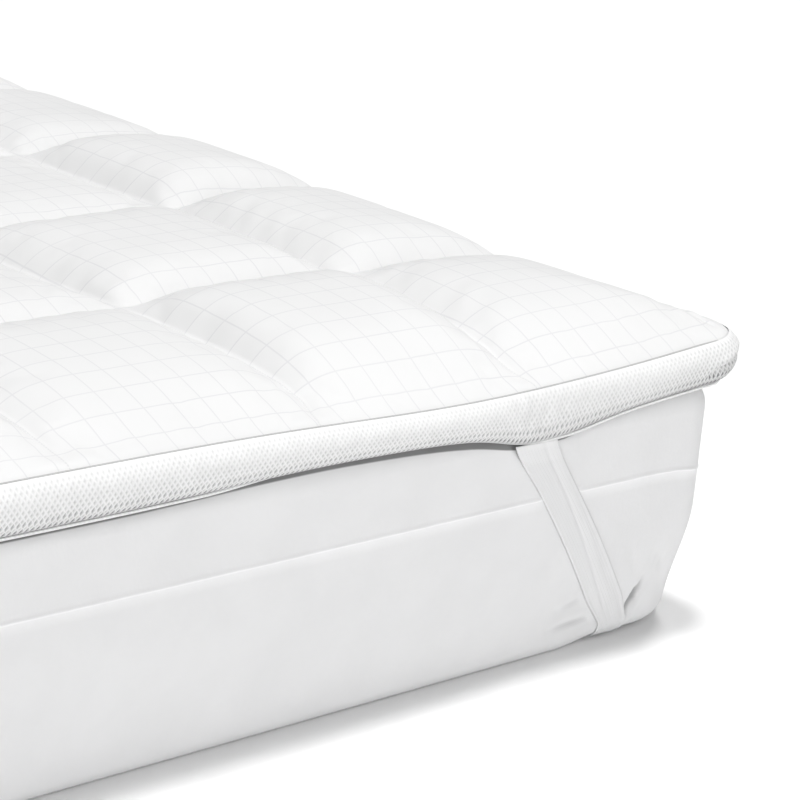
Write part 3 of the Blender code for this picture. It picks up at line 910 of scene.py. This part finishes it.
def band_folds(outline, along, distance, cut):
    """How far the mesh band stands out or in, for its wrinkles by a strap and its fold at a corner."""
    crown = 4.0 * cut * (1.0 - cut)
    near_strap = bell(distance - outline.strap_place, STRAP_WRINKLE_SPREAD)
    slanted = np.sin(2 * math.pi * (along + 0.014 * cut) / STRAP_WRINKLE_PITCH + 3.0 * np.sin(31.0 * along))
    rippled = np.sin(23.0 * along + 4.0 * np.sin(11.0 * along))
    folds = crown * (STRAP_WRINKLE * near_strap * slanted + BAND_RIPPLE * rippled)
    long, short = outline.straight_x + outline.arc, outline.straight_y + outline.arc
    middle = outline.straight_x + outline.arc / 2
    (start, start_cut), (end, end_cut) = CORNER_FOLD_RUN
    for step in (0.0, short, long, short):
        middle = middle + step
        place = along - middle
        share = np.clip((place - start) / (end - start), 0.0, 1.0)
        line = start_cut + (end_cut - start_cut) * share
        aside = (cut - line) * outline.band_height
        ends = smooth_step((place - start) / CORNER_FOLD_END) * smooth_step((end - place) / CORNER_FOLD_END)
        folds = folds - CORNER_FOLD * ends * bell(aside, CORNER_FOLD_HALF)
        folds = folds + 0.5 * CORNER_FOLD * ends * bell(aside + 2.2 * CORNER_FOLD_HALF, CORNER_FOLD_HALF)
    return folds


def border_band():
    outline = Outline()
    topper = groups()[1]
    count = round(outline.round_length / topper.hole_pitch)
    rows = topper.hole_rows
    spacing = 1.0 / (rows + 1)
    arc = topper.band_height * BAND_ARC
    points, cloths, depths = [], [], []
    total = 0

    def keep(shift, cut, proud=0.0, depth=0.0):
        """Adds one row of places on the band and gives the numbers of its points."""
        nonlocal total
        flat, out, distance, along = outline.even_walk(count, shift)
        reach, height = outline.band_point(distance, cut)
        proud = proud * min(1.0, 6.0 * cut, 6.0 * (1.0 - cut))
        reach = reach + band_folds(outline, along, distance, cut) + proud
        points.append(placed(flat, out, reach, height))
        along = mirrored(along, outline.round_length)
        cloths.append(on_cloth(along, cut * arc))
        depths.append(depth * (1.0 + hill(distance, CORNER_PAINTED_SHADE)))
        total += count
        return total - count + np.arange(count)

    def ahead(numbers, step):
        return np.roll(numbers, -step)

    # Knots of the net, on lines half a step off each other, and a hole between each four knots
    knots = []
    for line in range(rows + 2):
        tone = float(np.interp(spacing * line, *KNOT_PAINTED_SHADES))
        knots.append(keep(0.5 + 0.5 * (line % 2), spacing * line, NODE_PROUD, tone))
    faces = []
    for row in range(1, rows + 1):
        shift = 0.5 * (row % 2)
        left, right = ahead(knots[row], -1), knots[row]
        over, under = knots[row - 1], knots[row + 1]
        if shift == 0.0:
            over, under = ahead(over, -1), ahead(under, -1)
        cut = spacing * row
        wide = (HOLE_HALF_WIDTH + RIB_WIDER * float(smooth_step((cut - 0.55) / 0.4))) / topper.hole_pitch
        slant = HOLE_SLANT / topper.hole_pitch
        half_height, share = RIB_ROWS[rows - row] if rows - row < len(RIB_ROWS) else (HOLE_HALF_HEIGHT, 1.0)
        tall = half_height / arc
        dark = share * float(np.interp(cut, *HOLE_PAINTED_SHADES))
        rim = [
            keep(shift + aside, cut + down, depth=HOLE_RIM_PAINTED_SHADE * dark)
            for aside, down in ((-wide, 0.0), (slant, -tall), (wide, 0.0), (-slant, tall))
        ]
        bottom = keep(shift, cut, -HOLE_DEPTH, dark)
        corners = [left, over, right, under]
        for i in range(4):
            k = (i + 1) % 4
            faces.append(np.stack([corners[i], rim[i], rim[k], corners[k]], axis=-1))
            faces.append(np.stack([rim[i], bottom, rim[k]], axis=-1))
    faces.append(np.stack([knots[0], knots[1], ahead(knots[0], 1)], axis=-1))
    last, low = knots[rows], knots[rows + 1]
    step = 1 if (rows + 1) % 2 == 0 else 0
    faces.append(np.stack([low, ahead(low, 1), ahead(last, 1 - step)], axis=-1))
    all_faces = [face for group in faces for face in group.tolist()]
    layers = {"cloth": np.concatenate(cloths), "depth": np.concatenate(depths)}
    piece = add_piece("mesh_band", np.concatenate(points), all_faces, spacer_mesh(), layers)
    dress(piece, "spacer_mesh", "border_band")
    return piece


# Pipings


TOP_PIPING_PLACE = (-0.00015, -0.0003)  # outward and up from the upper seam
TOP_PIPING_SUNK = (-0.0013, -0.0014)  # round the corners, under the face's edge
LOW_PIPING_PLACE = (0.0014, -0.0019)
LOW_PIPING_TUCKED = (-0.0018, 0.0005)  # between these distances from the corner it hides behind the band
TUCKED_FROM = 0.25
TUCKED_TO = 0.74
TUCKED_RAMP = 0.10
TUCKED_CORNER = 0.050
TUCKED_CORNER_RAMP = 0.030


def tucked_behind(distance):
    starts = smooth_step((distance - TUCKED_FROM) / TUCKED_RAMP)
    ends = smooth_step((TUCKED_TO - distance) / TUCKED_RAMP)
    return np.maximum(starts * ends, smooth_step((TUCKED_CORNER - distance) / TUCKED_CORNER_RAMP))


def piping(name, node, seam, radius, place, hidden_place, hidden, tint):
    outline = Outline()
    count = round(outline.round_length / PIPING_STEP)
    flat, out, distance, along = outline.even_walk(count)
    reach, up = (seen + (unseen - seen) * hidden(distance) for seen, unseen in zip(place, hidden_place))
    along = mirrored(along, outline.round_length)
    rings, cloths = [], []
    for side in range(PIPING_SIDES):
        turn = 2 * math.pi * side / PIPING_SIDES
        height = seam(outline, distance) + up + radius * math.sin(turn)
        rings.append(placed(flat, out, reach + radius * math.cos(turn), height))
        cloths.append(on_cloth(along, radius * turn))
    faces = ring_faces(PIPING_SIDES, count, closed=True)
    layers = {"cloth": np.array(cloths).reshape(-1, 3)}
    piece = add_piece(name, np.array(rings), faces.tolist(), seam_piping(name + "_thread", tint), layers)
    dress(piece, "seam_piping", node)
    return piece


def pipings():
    _, topper, _, colours = groups()
    top_places = (TOP_PIPING_PLACE, TOP_PIPING_SUNK, sunk_at_corner)
    low_places = (LOW_PIPING_PLACE, LOW_PIPING_TUCKED, tucked_behind)
    top = (Outline.upper_seam, topper.top_piping, *top_places, colours.top_piping)
    low = (Outline.lower_seam, topper.low_piping, *low_places, colours.low_piping)
    piping("top_piping", "piping_top", *top)
    piping("bottom_piping", "piping_bottom", *low)


# Straps


CORNERS = (("front_right", 1, -1), ("back_right", 1, 1), ("back_left", -1, 1), ("front_left", -1, -1))
STRAP_STAND_OFF = 0.0014
STRAP_UNDER_HEIGHT = CORNER_LIFT - STRAP_STAND_OFF
STRAP_LEAN = ((0.0, 0.010, 0.026), (0.0085, 0.0045, STRAP_STAND_OFF))  # below the seam, from the cover
STRAP_BOW = 0.0080
STRAP_EASED = 0.30
STRAP_GATHERED = 0.86
STRAP_STEPS = 90
STRAP_TURN_STEPS = 10
STRAP_PLACES = 57
STRAP_RIBS = 13
STRAP_RIB_HEIGHT = 0.00005
SELVEDGE_HEIGHT = 0.00025
SELVEDGE_PLACE = 0.045
SELVEDGE_SPREAD = 0.030
# Lengthwise fold of a strap: by share of the way down, its place across and its depth
STRAP_FOLD = ((0.0, 0.25, 0.5, 0.8, 1.0), (0.70, 0.66, 0.56, 0.42, 0.33))
STRAP_FOLD_SPREAD = 0.055
STRAP_FOLD_DEPTH = 0.0007
STRAP_RIDGE_STEP = 0.20
STRAP_FOOT_FOLDS = 2.6
STRAP_FOOT_DEPTH = 0.0006


def strap_course(down):
    """(middle, half width) of a strap along its side, from the corner, by the share of the way down."""
    strap = groups()[2]
    bow = STRAP_BOW * 4.0 * down * (1.0 - down)
    middle = strap.top_place + (strap.low_place - strap.top_place) * down - bow
    half = strap.half + (strap.top_half - strap.half) * (1.0 - smooth_step(down / STRAP_EASED))
    gathered = smooth_step((down - STRAP_GATHERED) / (1.0 - STRAP_GATHERED))
    half = half + (strap.low_half - strap.half) * gathered
    return middle, half


def strap_leg(outline):
    """(share of the way down, outward, height, normal) at each station down one leg of a strap."""
    mattress, _, strap, _ = groups()
    start = outline.lower_seam(strap.top_place) - 2 * outline.piping
    turn = mattress.bottom_edge + CORNER_LIFT
    down = np.linspace(0.0, 1.0, STRAP_STEPS)
    height = start + (turn - start) * down
    out = np.interp(start - height, *STRAP_LEAN)
    stations = [(share, o, h, (1.0, 0.0)) for share, o, h in zip(down, out, height)]
    reach = mattress.bottom_edge + STRAP_STAND_OFF
    depth = turn - STRAP_UNDER_HEIGHT
    for step in range(1, STRAP_TURN_STEPS + 1):
        angle = math.pi / 2 * step / STRAP_TURN_STEPS
        sine, cosine = math.sin(angle), math.cos(angle)
        stations.append((1.0, reach * cosine - mattress.bottom_edge, turn - depth * sine, (cosine, -sine)))
    return stations


def strap_relief(down, across):
    """How far the elastic stands out: fine ribs, a raised selvedge, one long fold and a gathered foot."""
    faded = smooth_step(np.minimum(across, 1.0 - across) / 0.04)
    relief = STRAP_RIB_HEIGHT * np.cos(2 * math.pi * STRAP_RIBS * across)
    relief += SELVEDGE_HEIGHT * bell(across - SELVEDGE_PLACE, SELVEDGE_SPREAD)
    relief += SELVEDGE_HEIGHT * bell(1.0 - across - SELVEDGE_PLACE, SELVEDGE_SPREAD)
    fold = np.interp(down, *STRAP_FOLD)
    relief -= STRAP_FOLD_DEPTH * bell(across - fold, STRAP_FOLD_SPREAD)
    relief += 0.8 * STRAP_FOLD_DEPTH * bell(across - fold - STRAP_RIDGE_STEP, 1.6 * STRAP_FOLD_SPREAD)
    foot = smooth_step((down - 0.72) / 0.25)
    relief += foot * STRAP_FOOT_DEPTH * np.sin(2 * math.pi * STRAP_FOOT_FOLDS * across + 0.6 + 2.0 * down)
    return faded * relief, faded


def corner_strap(name, node, side_x, side_y):
    outline = Outline()
    _, topper, strap, _ = groups()
    half_x, half_y = outline.length / 2 - topper.overhang, outline.width / 2 - topper.overhang
    corner = np.array([side_x * half_x, side_y * half_y, 0.0])
    along = (np.array([-side_x, 0.0, 0.0]), np.array([0.0, -side_y, 0.0]))
    up = np.array([0.0, 0.0, 1.0])
    leg = strap_leg(outline)
    sections = []
    for first, second, stations in ((along[0], along[1], leg), (along[1], along[0], leg[::-1])):
        for share, out, height, normal in stations:
            middle, half = strap_course(share)
            flat = normal[0] * -second + normal[1] * up
            base = corner - second * out + up * height
            sections.append((base + first * (middle + half), base + first * (middle - half), flat, share))
    across = np.linspace(0.0, 1.0, STRAP_PLACES)
    outer, inner, cloths = [], [], []
    travelled = 0.0
    last = None
    for far, near, flat, share in sections:
        middle = (far + near) / 2
        travelled += 0.0 if last is None else float(np.linalg.norm(middle - last))
        last = middle
        line = far + (near - far) * across[:, None]
        relief, faded = strap_relief(share, across)
        half = strap.thickness / 2 * (0.35 + 0.65 * faded)
        outer.append(line + flat * (half + relief)[:, None])
        inner.append(line - flat * half[:, None])
        cloths.append(on_cloth(across * np.linalg.norm(near - far), travelled))
    rings = [np.concatenate([one, two[::-1]]) for one, two in zip(outer, inner)]
    cloth = [np.concatenate([one, one[::-1]]) for one in cloths]
    faces = tube_faces(rings)
    if side_x * side_y > 0:
        faces = [face[::-1] for face in faces]
    layers = {"cloth": np.concatenate(cloth)}
    piece = add_piece(name, np.array(rings), faces, elastic_webbing(), layers)
    dress(piece, "elastic_webbing", node)
    drop = leg[0][2] - leg[STRAP_STEPS - 1][2]
    upright = drop / math.hypot(drop, strap.top_place - strap.low_place)
    flat = (2 * strap.half * upright, travelled)  # the half width is level, and the strap runs aslant
    return piece


def straps():
    for corner, side_x, side_y in CORNERS:
        corner_strap("elastic_" + corner, "strap_" + corner, side_x, side_y)


# Mattress


COVER_ARC_STEPS = 52
COVER_FOOT_END = 0.25
COVER_FOOT_STEP = 0.0031
COVER_FINE_END = 0.42
COVER_FINE_STEP = 0.008
COVER_WIDE_STEP = 0.020
COVER_JOIN = 0.116
COVER_JOIN_STEPS = 4
COVER_FOOT_TOP = 0.088
COVER_FOOT_LEVEL = 0.0030
COVER_LEVEL_STEP = 0.009
COVER_EDGE_STEPS = 9
# Shade painted on the cover in the gap between the cover and the border: the painted strip's height, and how
# much higher where the border stands off
RECESS_BELOW_SEAM = 0.010
RECESS_HEIGHT = 0.0020
RECESS_WIDER = 0.0012
RECESS_WIDER_FROM = 0.25
RECESS_WIDER_RAMP = 0.08
RECESS_LESS = (0.0030, 0.342, 0.050)  # where the strap's edge pulls the border down on the cover
RECESS_CORNER = (0.0020, 0.0, 0.090)
RECESS_PAINTED_SHADE = (-0.0008, 0.0008, 0.30)  # from and to this height the painted shade darkens the cover to this share
# Creases of the cover at a strap's foot: start and end as (from the corner, height), half width, depth
FOOT_CREASES = (
    ((0.097, 0.063), (0.118, 0.036), 0.0048, 0.0048),
    ((0.108, 0.050), (0.119, 0.036), 0.0044, 0.0052),
    ((0.120, 0.038), (0.120, 0.014), 0.0036, 0.0045),
    ((0.128, 0.100), (0.104, 0.066), 0.0080, 0.0016),
    ((0.240, 0.030), (0.166, 0.034), 0.0055, 0.0034),
    ((0.228, 0.050), (0.182, 0.060), 0.0060, 0.0024),
    ((0.094, 0.100), (0.060, 0.050), 0.0120, 0.0020),
    ((0.268, 0.246), (0.232, 0.236), 0.0080, -0.0020),
)
FOLD_PAINTED_SHADE = (0.0010, 0.0060, 0.50)  # painted shade in the creases: from and to this depth of a crease the cover darkens to this share
COVER_FOLDS_FROM = 0.012  # height below which the cover's folds fade out
SEAM_DROP = (0.009, 0.0, 0.055)  # of the cover's seam at a corner
SEAM_DROP_REACH = 0.06
STRAP_PRESS_REACH = 0.006
COVER_RIPPLE = 0.0005
COVER_RIPPLE_WIDTH = 0.075


def cover_cuts(half_side):
    """Distances from the corner of the points along one side, past the corner's arc."""
    foot = np.arange(COVER_JOIN, COVER_FOOT_END, COVER_FOOT_STEP)
    fine = np.arange(COVER_FOOT_END, COVER_FINE_END, COVER_FINE_STEP)
    wide = np.linspace(COVER_FINE_END, half_side, round((half_side - COVER_FINE_END) / COVER_WIDE_STEP))
    half = np.concatenate([foot, fine, wide])
    return np.concatenate([half, 2 * half_side - half[-2::-1]])


def cover_ring(half_x, half_y, inset, height):
    """(points, outward, distance along the side from the nearest corner) of one level of the cover."""
    mattress = groups()[0]
    low = float(smooth_step(1.0 - height / mattress.draw_height))
    radius = mattress.corner + (mattress.corner_low - mattress.corner) * low
    radius = max(radius - inset, LEAST_CORNER)
    reach_x, reach_y = half_x - inset, half_y - inset
    points, outs, places = [], [], []
    turns = ((1, -1, -90, half_y), (1, 1, 0, half_x), (-1, 1, 90, half_y), (-1, -1, 180, half_x))
    sweep = np.arange(COVER_ARC_STEPS + 1) / COVER_ARC_STEPS
    for side_x, side_y, start, half_side in turns:
        centre = np.array([side_x * (reach_x - radius), side_y * (reach_y - radius)])
        angles = np.radians(start + 90 * np.arange(COVER_ARC_STEPS + 1) / COVER_ARC_STEPS)
        arc = np.stack([np.cos(angles), np.sin(angles)], axis=-1)
        points.append(centre + radius * arc)
        outs.append(arc)
        places.append(np.abs(2 * sweep - 1) * radius)
        turned = math.radians(start + 90)
        outward = np.array([math.cos(turned), math.sin(turned)])
        heading = np.array([-outward[1], outward[0]])
        corner = np.array([side_x * reach_x, side_y * reach_y])
        cuts = cover_cuts(half_side) - inset
        joined = radius + (cuts[0] - radius) * np.arange(1, COVER_JOIN_STEPS) / COVER_JOIN_STEPS
        side = 2 * (half_side - inset)
        cuts = np.concatenate([joined, cuts, side - joined[::-1]])
        points.append(corner + heading * cuts[:, None])
        outs.append(np.broadcast_to(outward, (len(cuts), 2)))
        places.append(np.minimum(cuts, side - cuts))
    return np.concatenate(points), np.concatenate(outs), np.concatenate(places)


def cover_levels():
    """(inset, height) of each level, from the flat underside to the flat top."""
    mattress = groups()[0]
    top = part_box("mattress")[1].z
    levels = [(inset, 0.0) for inset in UNDER_INSETS]
    turns = np.radians(np.linspace(0, 90, COVER_EDGE_STEPS + 1))
    edge = mattress.bottom_edge
    levels += [(edge * (1 - math.sin(t)), edge * (1 - math.cos(t))) for t in turns]
    seam = [(COVER_SEAM_WIDTH * off, proud) for off, proud in COVER_SEAM_SHAPE]
    foot = np.arange(mattress.bottom_edge + COVER_FOOT_LEVEL, COVER_FOOT_TOP, COVER_FOOT_LEVEL)
    below = np.arange(COVER_FOOT_TOP, mattress.seam_height - 0.005, COVER_LEVEL_STEP)
    below = np.concatenate([foot, below])
    above = np.arange(mattress.seam_height + 0.006, top - mattress.top_edge - 0.003, COVER_LEVEL_STEP)
    levels += [(0.0, height) for height in below]
    levels += [(-COVER_SEAM_PROUD * proud, mattress.seam_height + off) for off, proud in seam]
    levels += [(0.0, height) for height in above]
    edge = mattress.top_edge
    levels += [(edge * (1 - math.cos(t)), top - edge * (1 - math.sin(t))) for t in turns]
    levels += [(inset, top) for inset in UNDER_INSETS[::-1]]
    return levels


def cover_folds(place, height):
    """How far the cover stands out or in, by the distance from the corner along a side and the height."""
    folds = COVER_RIPPLE * ripple_of(place, height, COVER_RIPPLE_WIDTH, 5)
    for start, end, half_width, depth in FOOT_CREASES:
        folds += crease(place, height, start, end, half_width, depth)
    return folds


def strap_presses(place, height):
    """1 where a strap lies on the cover, fading to 0 beside its edges."""
    mattress, _, strap, _ = groups()
    outline = Outline()
    start = outline.lower_seam(strap.top_place)
    share = np.clip((start - height) / (start - mattress.bottom_edge), 0.0, 1.0)
    middle, half = strap_course(share)
    return smooth_step((half + STRAP_PRESS_REACH - np.abs(place - middle)) / STRAP_PRESS_REACH)


def mattress_cover():
    mattress, topper, _, _ = groups()
    outline = Outline()
    low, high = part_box("mattress")
    half_x = (high.x - low.x) / 2 - COVER_SEAM_PROUD
    half_y = (high.y - low.y) / 2 - COVER_SEAM_PROUD
    rings, cloths, seams, recess_shade_heights, depths = [], [], [], [], []
    for inset, height in cover_levels():
        points, outs, places = cover_ring(half_x, half_y, inset, height)
        from_both = half_x - np.abs(points[:, 0]) + half_y - np.abs(points[:, 1])
        share = max(1.0 - height / mattress.draw_height, 0.0)
        lift = CORNER_LIFT * smooth_step((CORNER_LIFT_REACH - from_both) / CORNER_LIFT_RAMP)
        lift = lift + CORNER_TIP_LIFT * smooth_step((CORNER_TIP_REACH - from_both) / CORNER_TIP_REACH)
        level = height + lift * share**2
        level = level - hill(places, SEAM_DROP) * bell(height - mattress.seam_height, SEAM_DROP_REACH)
        pressed = strap_presses(places, level)
        folds = cover_folds(places, level) * (1.0 - pressed) * smooth_step(height / COVER_FOLDS_FROM)
        # Depth of each crease, by which shade is painted into it
        depths.append(np.maximum(-folds, 0.0))
        folds = folds + min(inset, 0.0) * pressed
        points = points + outs * folds[:, None]
        rings.append(np.concatenate([points, level[:, None]], axis=-1))
        steps = np.linalg.norm(np.diff(points, axis=0, append=points[:1]), axis=-1)
        along = np.concatenate([[0.0], np.cumsum(steps)[:-1]])
        along = mirrored(along, steps.sum())
        cloths.append(np.stack([along, level, np.full(len(along), inset)], axis=-1))
        # Where the seam runs, for its painted highlight
        seams.append(np.full(len(level), bell(height - mattress.seam_height, COVER_SEAM_WIDTH / 2)))
        off_x, off_y = half_x - np.abs(points[:, 0]), half_y - np.abs(points[:, 1])
        from_corner = np.maximum(off_x, off_y) + topper.overhang
        wider = hill(from_corner, RECESS_CORNER) - hill(from_corner, RECESS_LESS)
        wider += RECESS_WIDER * smooth_step((from_corner - RECESS_WIDER_FROM) / RECESS_WIDER_RAMP)
        # Height of each point against the strip of painted shade under the border's lower seam
        recess_shade_heights.append(level - outline.lower_seam(from_corner) + RECESS_BELOW_SEAM + RECESS_HEIGHT + wider)
    layers = {"cloth": cloths, "seam": seams, "recess_shade": recess_shade_heights, "fold": depths}
    layers = {name: np.concatenate(values) for name, values in layers.items()}
    piece = add_piece("mattress_cover", np.array(rings), tube_faces(rings), jersey_cover(), layers)
    dress(piece, "jersey_cover", "mattress")
    return piece


# Stage


FLOOR_SIZE = 400.0
NEAR_LAMP_SIZE = 1.6
NEAR_LAMP_PLACE = (0.1, -2.4, 2.0)
NEAR_LAMP_AIM = (0.3, -0.7, 0.2)


def floor():
    colours = groups()[3]
    half = FLOOR_SIZE / 2
    points = [(-half, -half, 0), (half, -half, 0), (half, half, 0), (-half, half, 0)]
    made = Finish("studio_floor", 0.9)
    made.shader.inputs["Base Color"].default_value = opaque(colours.floor)
    piece = add_piece("studio_floor", points, [[0, 1, 2, 3]], made.material)


def soft_light(name, direction, strength, softness):
    """A wide light far off, which shines from this direction evenly on everything."""
    light = bpy.data.lights.new(name, "SUN")
    light.energy, light.angle = strength, softness
    holder = bpy.data.objects.new(name, light)
    holder.rotation_euler = Vector(direction).to_track_quat("Z", "Y").to_euler()
    bpy.context.scene.collection.objects.link(holder)


def near_lamp(watts):
    """A wide lamp in front, whose light fades over the length of the object."""
    lamp = bpy.data.lights.new("near_lamp", "AREA")
    lamp.shape, lamp.size, lamp.energy = "DISK", NEAR_LAMP_SIZE, watts
    holder = bpy.data.objects.new("near_lamp", lamp)
    holder.location = NEAR_LAMP_PLACE
    back = Vector(NEAR_LAMP_PLACE) - Vector(NEAR_LAMP_AIM)
    holder.rotation_euler = back.to_track_quat("Z", "Y").to_euler()
    holder.visible_camera = False
    bpy.context.scene.collection.objects.link(holder)


def camera():
    studio = bpy.context.scene.studio_settings
    data = bpy.data.cameras.new("photo_camera")
    data.lens, data.sensor_width = studio.lens, SENSOR
    data.clip_start, data.clip_end = 0.05, 1000.0
    holder = bpy.data.objects.new("photo_camera", data)
    level, elevation = math.cos(studio.elevation), studio.elevation
    back = Vector((math.sin(studio.azimuth) * level, -math.cos(studio.azimuth) * level, math.sin(elevation)))
    right = (-back).cross(Vector((0, 0, 1))).normalized()
    up = right.cross(-back)
    turned_right = right * math.cos(studio.roll) + up * math.sin(studio.roll)
    turned_up = up * math.cos(studio.roll) - right * math.sin(studio.roll)
    place = Matrix((turned_right, turned_up, back)).transposed().to_4x4()
    place.translation = Vector(CAMERA_PLACE)
    holder.matrix_world = place
    bpy.context.scene.collection.objects.link(holder)
    bpy.context.scene.camera = holder


def surroundings():
    scene = bpy.context.scene
    world = bpy.data.worlds.new("white_studio")
    world.use_nodes = True
    sky = world.node_tree.nodes["Background"]
    sky.inputs["Color"].default_value = (1, 1, 1, 1)
    sky.inputs["Strength"].default_value = scene.studio_settings.sky
    scene.world = world
    scene.view_settings.view_transform = "Standard"


class TOPPER_OT_quilted_pad(Operator):
    """Add the filled and quilted pad"""

    bl_idname = "topper.quilted_pad"
    bl_label = "Quilted pad"

    def execute(self, context):
        quilted_pad()
        return {"FINISHED"}


class TOPPER_OT_border_band(Operator):
    """Add the mesh band round the pad"""

    bl_idname = "topper.border_band"
    bl_label = "Border band"

    def execute(self, context):
        border_band()
        return {"FINISHED"}


class TOPPER_OT_pipings(Operator):
    """Add the thin pipings along both of the band's seams"""

    bl_idname = "topper.pipings"
    bl_label = "Pipings"

    def execute(self, context):
        pipings()
        return {"FINISHED"}


class TOPPER_OT_straps(Operator):
    """Add the four elastic corner straps"""

    bl_idname = "topper.straps"
    bl_label = "Corner straps"

    def execute(self, context):
        straps()
        return {"FINISHED"}


class TOPPER_OT_mattress_cover(Operator):
    """Add the covered mattress"""

    bl_idname = "topper.mattress_cover"
    bl_label = "Mattress cover"

    def execute(self, context):
        mattress_cover()
        return {"FINISHED"}


class TOPPER_OT_stage(Operator):
    """Add the floor, the lights and the camera"""

    bl_idname = "topper.stage"
    bl_label = "Stage"

    def execute(self, context):
        studio = context.scene.studio_settings
        floor()
        soft_light("key_light", (-0.3, -0.85, 0.35), studio.key, studio.softness)
        soft_light("top_light", (0.35, 0.1, 0.93), studio.top, studio.top_softness)
        soft_light("overhead_light", (0.02, 0.02, 1.0), studio.overhead, studio.top_softness)
        near_lamp(studio.near)
        camera()
        surroundings()
        return {"FINISHED"}


OPERATORS = (
    TOPPER_OT_mattress_cover,
    TOPPER_OT_quilted_pad,
    TOPPER_OT_border_band,
    TOPPER_OT_pipings,
    TOPPER_OT_straps,
    TOPPER_OT_stage,
)


class TOPPER_PT_panel(Panel):
    """Sizes, colours and pieces of the topper"""

    bl_idname = "TOPPER_PT_panel"
    bl_label = "Mattress topper"
    bl_space_type = "VIEW_3D"
    bl_region_type = "UI"
    bl_category = "Topper"

    def draw(self, context):
        for holder in SCENE_GROUPS:
            box = self.layout.box()
            settings = getattr(context.scene, holder)
            for key in type(settings).__annotations__:
                box.prop(settings, key)
        for operator in OPERATORS:
            self.layout.operator(operator.bl_idname)


SCENE_GROUPS = {
    "mattress_sizes": MattressSizes,
    "topper_sizes": TopperSizes,
    "strap_sizes": StrapSizes,
    "cloth_colours": ClothColours,
    "studio_settings": StudioSettings,
}
CLASSES = (*SCENE_GROUPS.values(), *OPERATORS, TOPPER_PT_panel)


def register():
    for held in CLASSES:
        bpy.utils.register_class(held)
    for name, group in SCENE_GROUPS.items():
        setattr(bpy.types.Scene, name, PointerProperty(type=group))


def unregister():
    for name in SCENE_GROUPS:
        delattr(bpy.types.Scene, name)
    for held in reversed(CLASSES):
        bpy.utils.unregister_class(held)


def main():
    register()
    for step in ("mattress_cover", "quilted_pad", "border_band", "pipings", "straps", "stage"):
        getattr(bpy.ops.topper, step)()


if __name__ == "__main__":
    main()
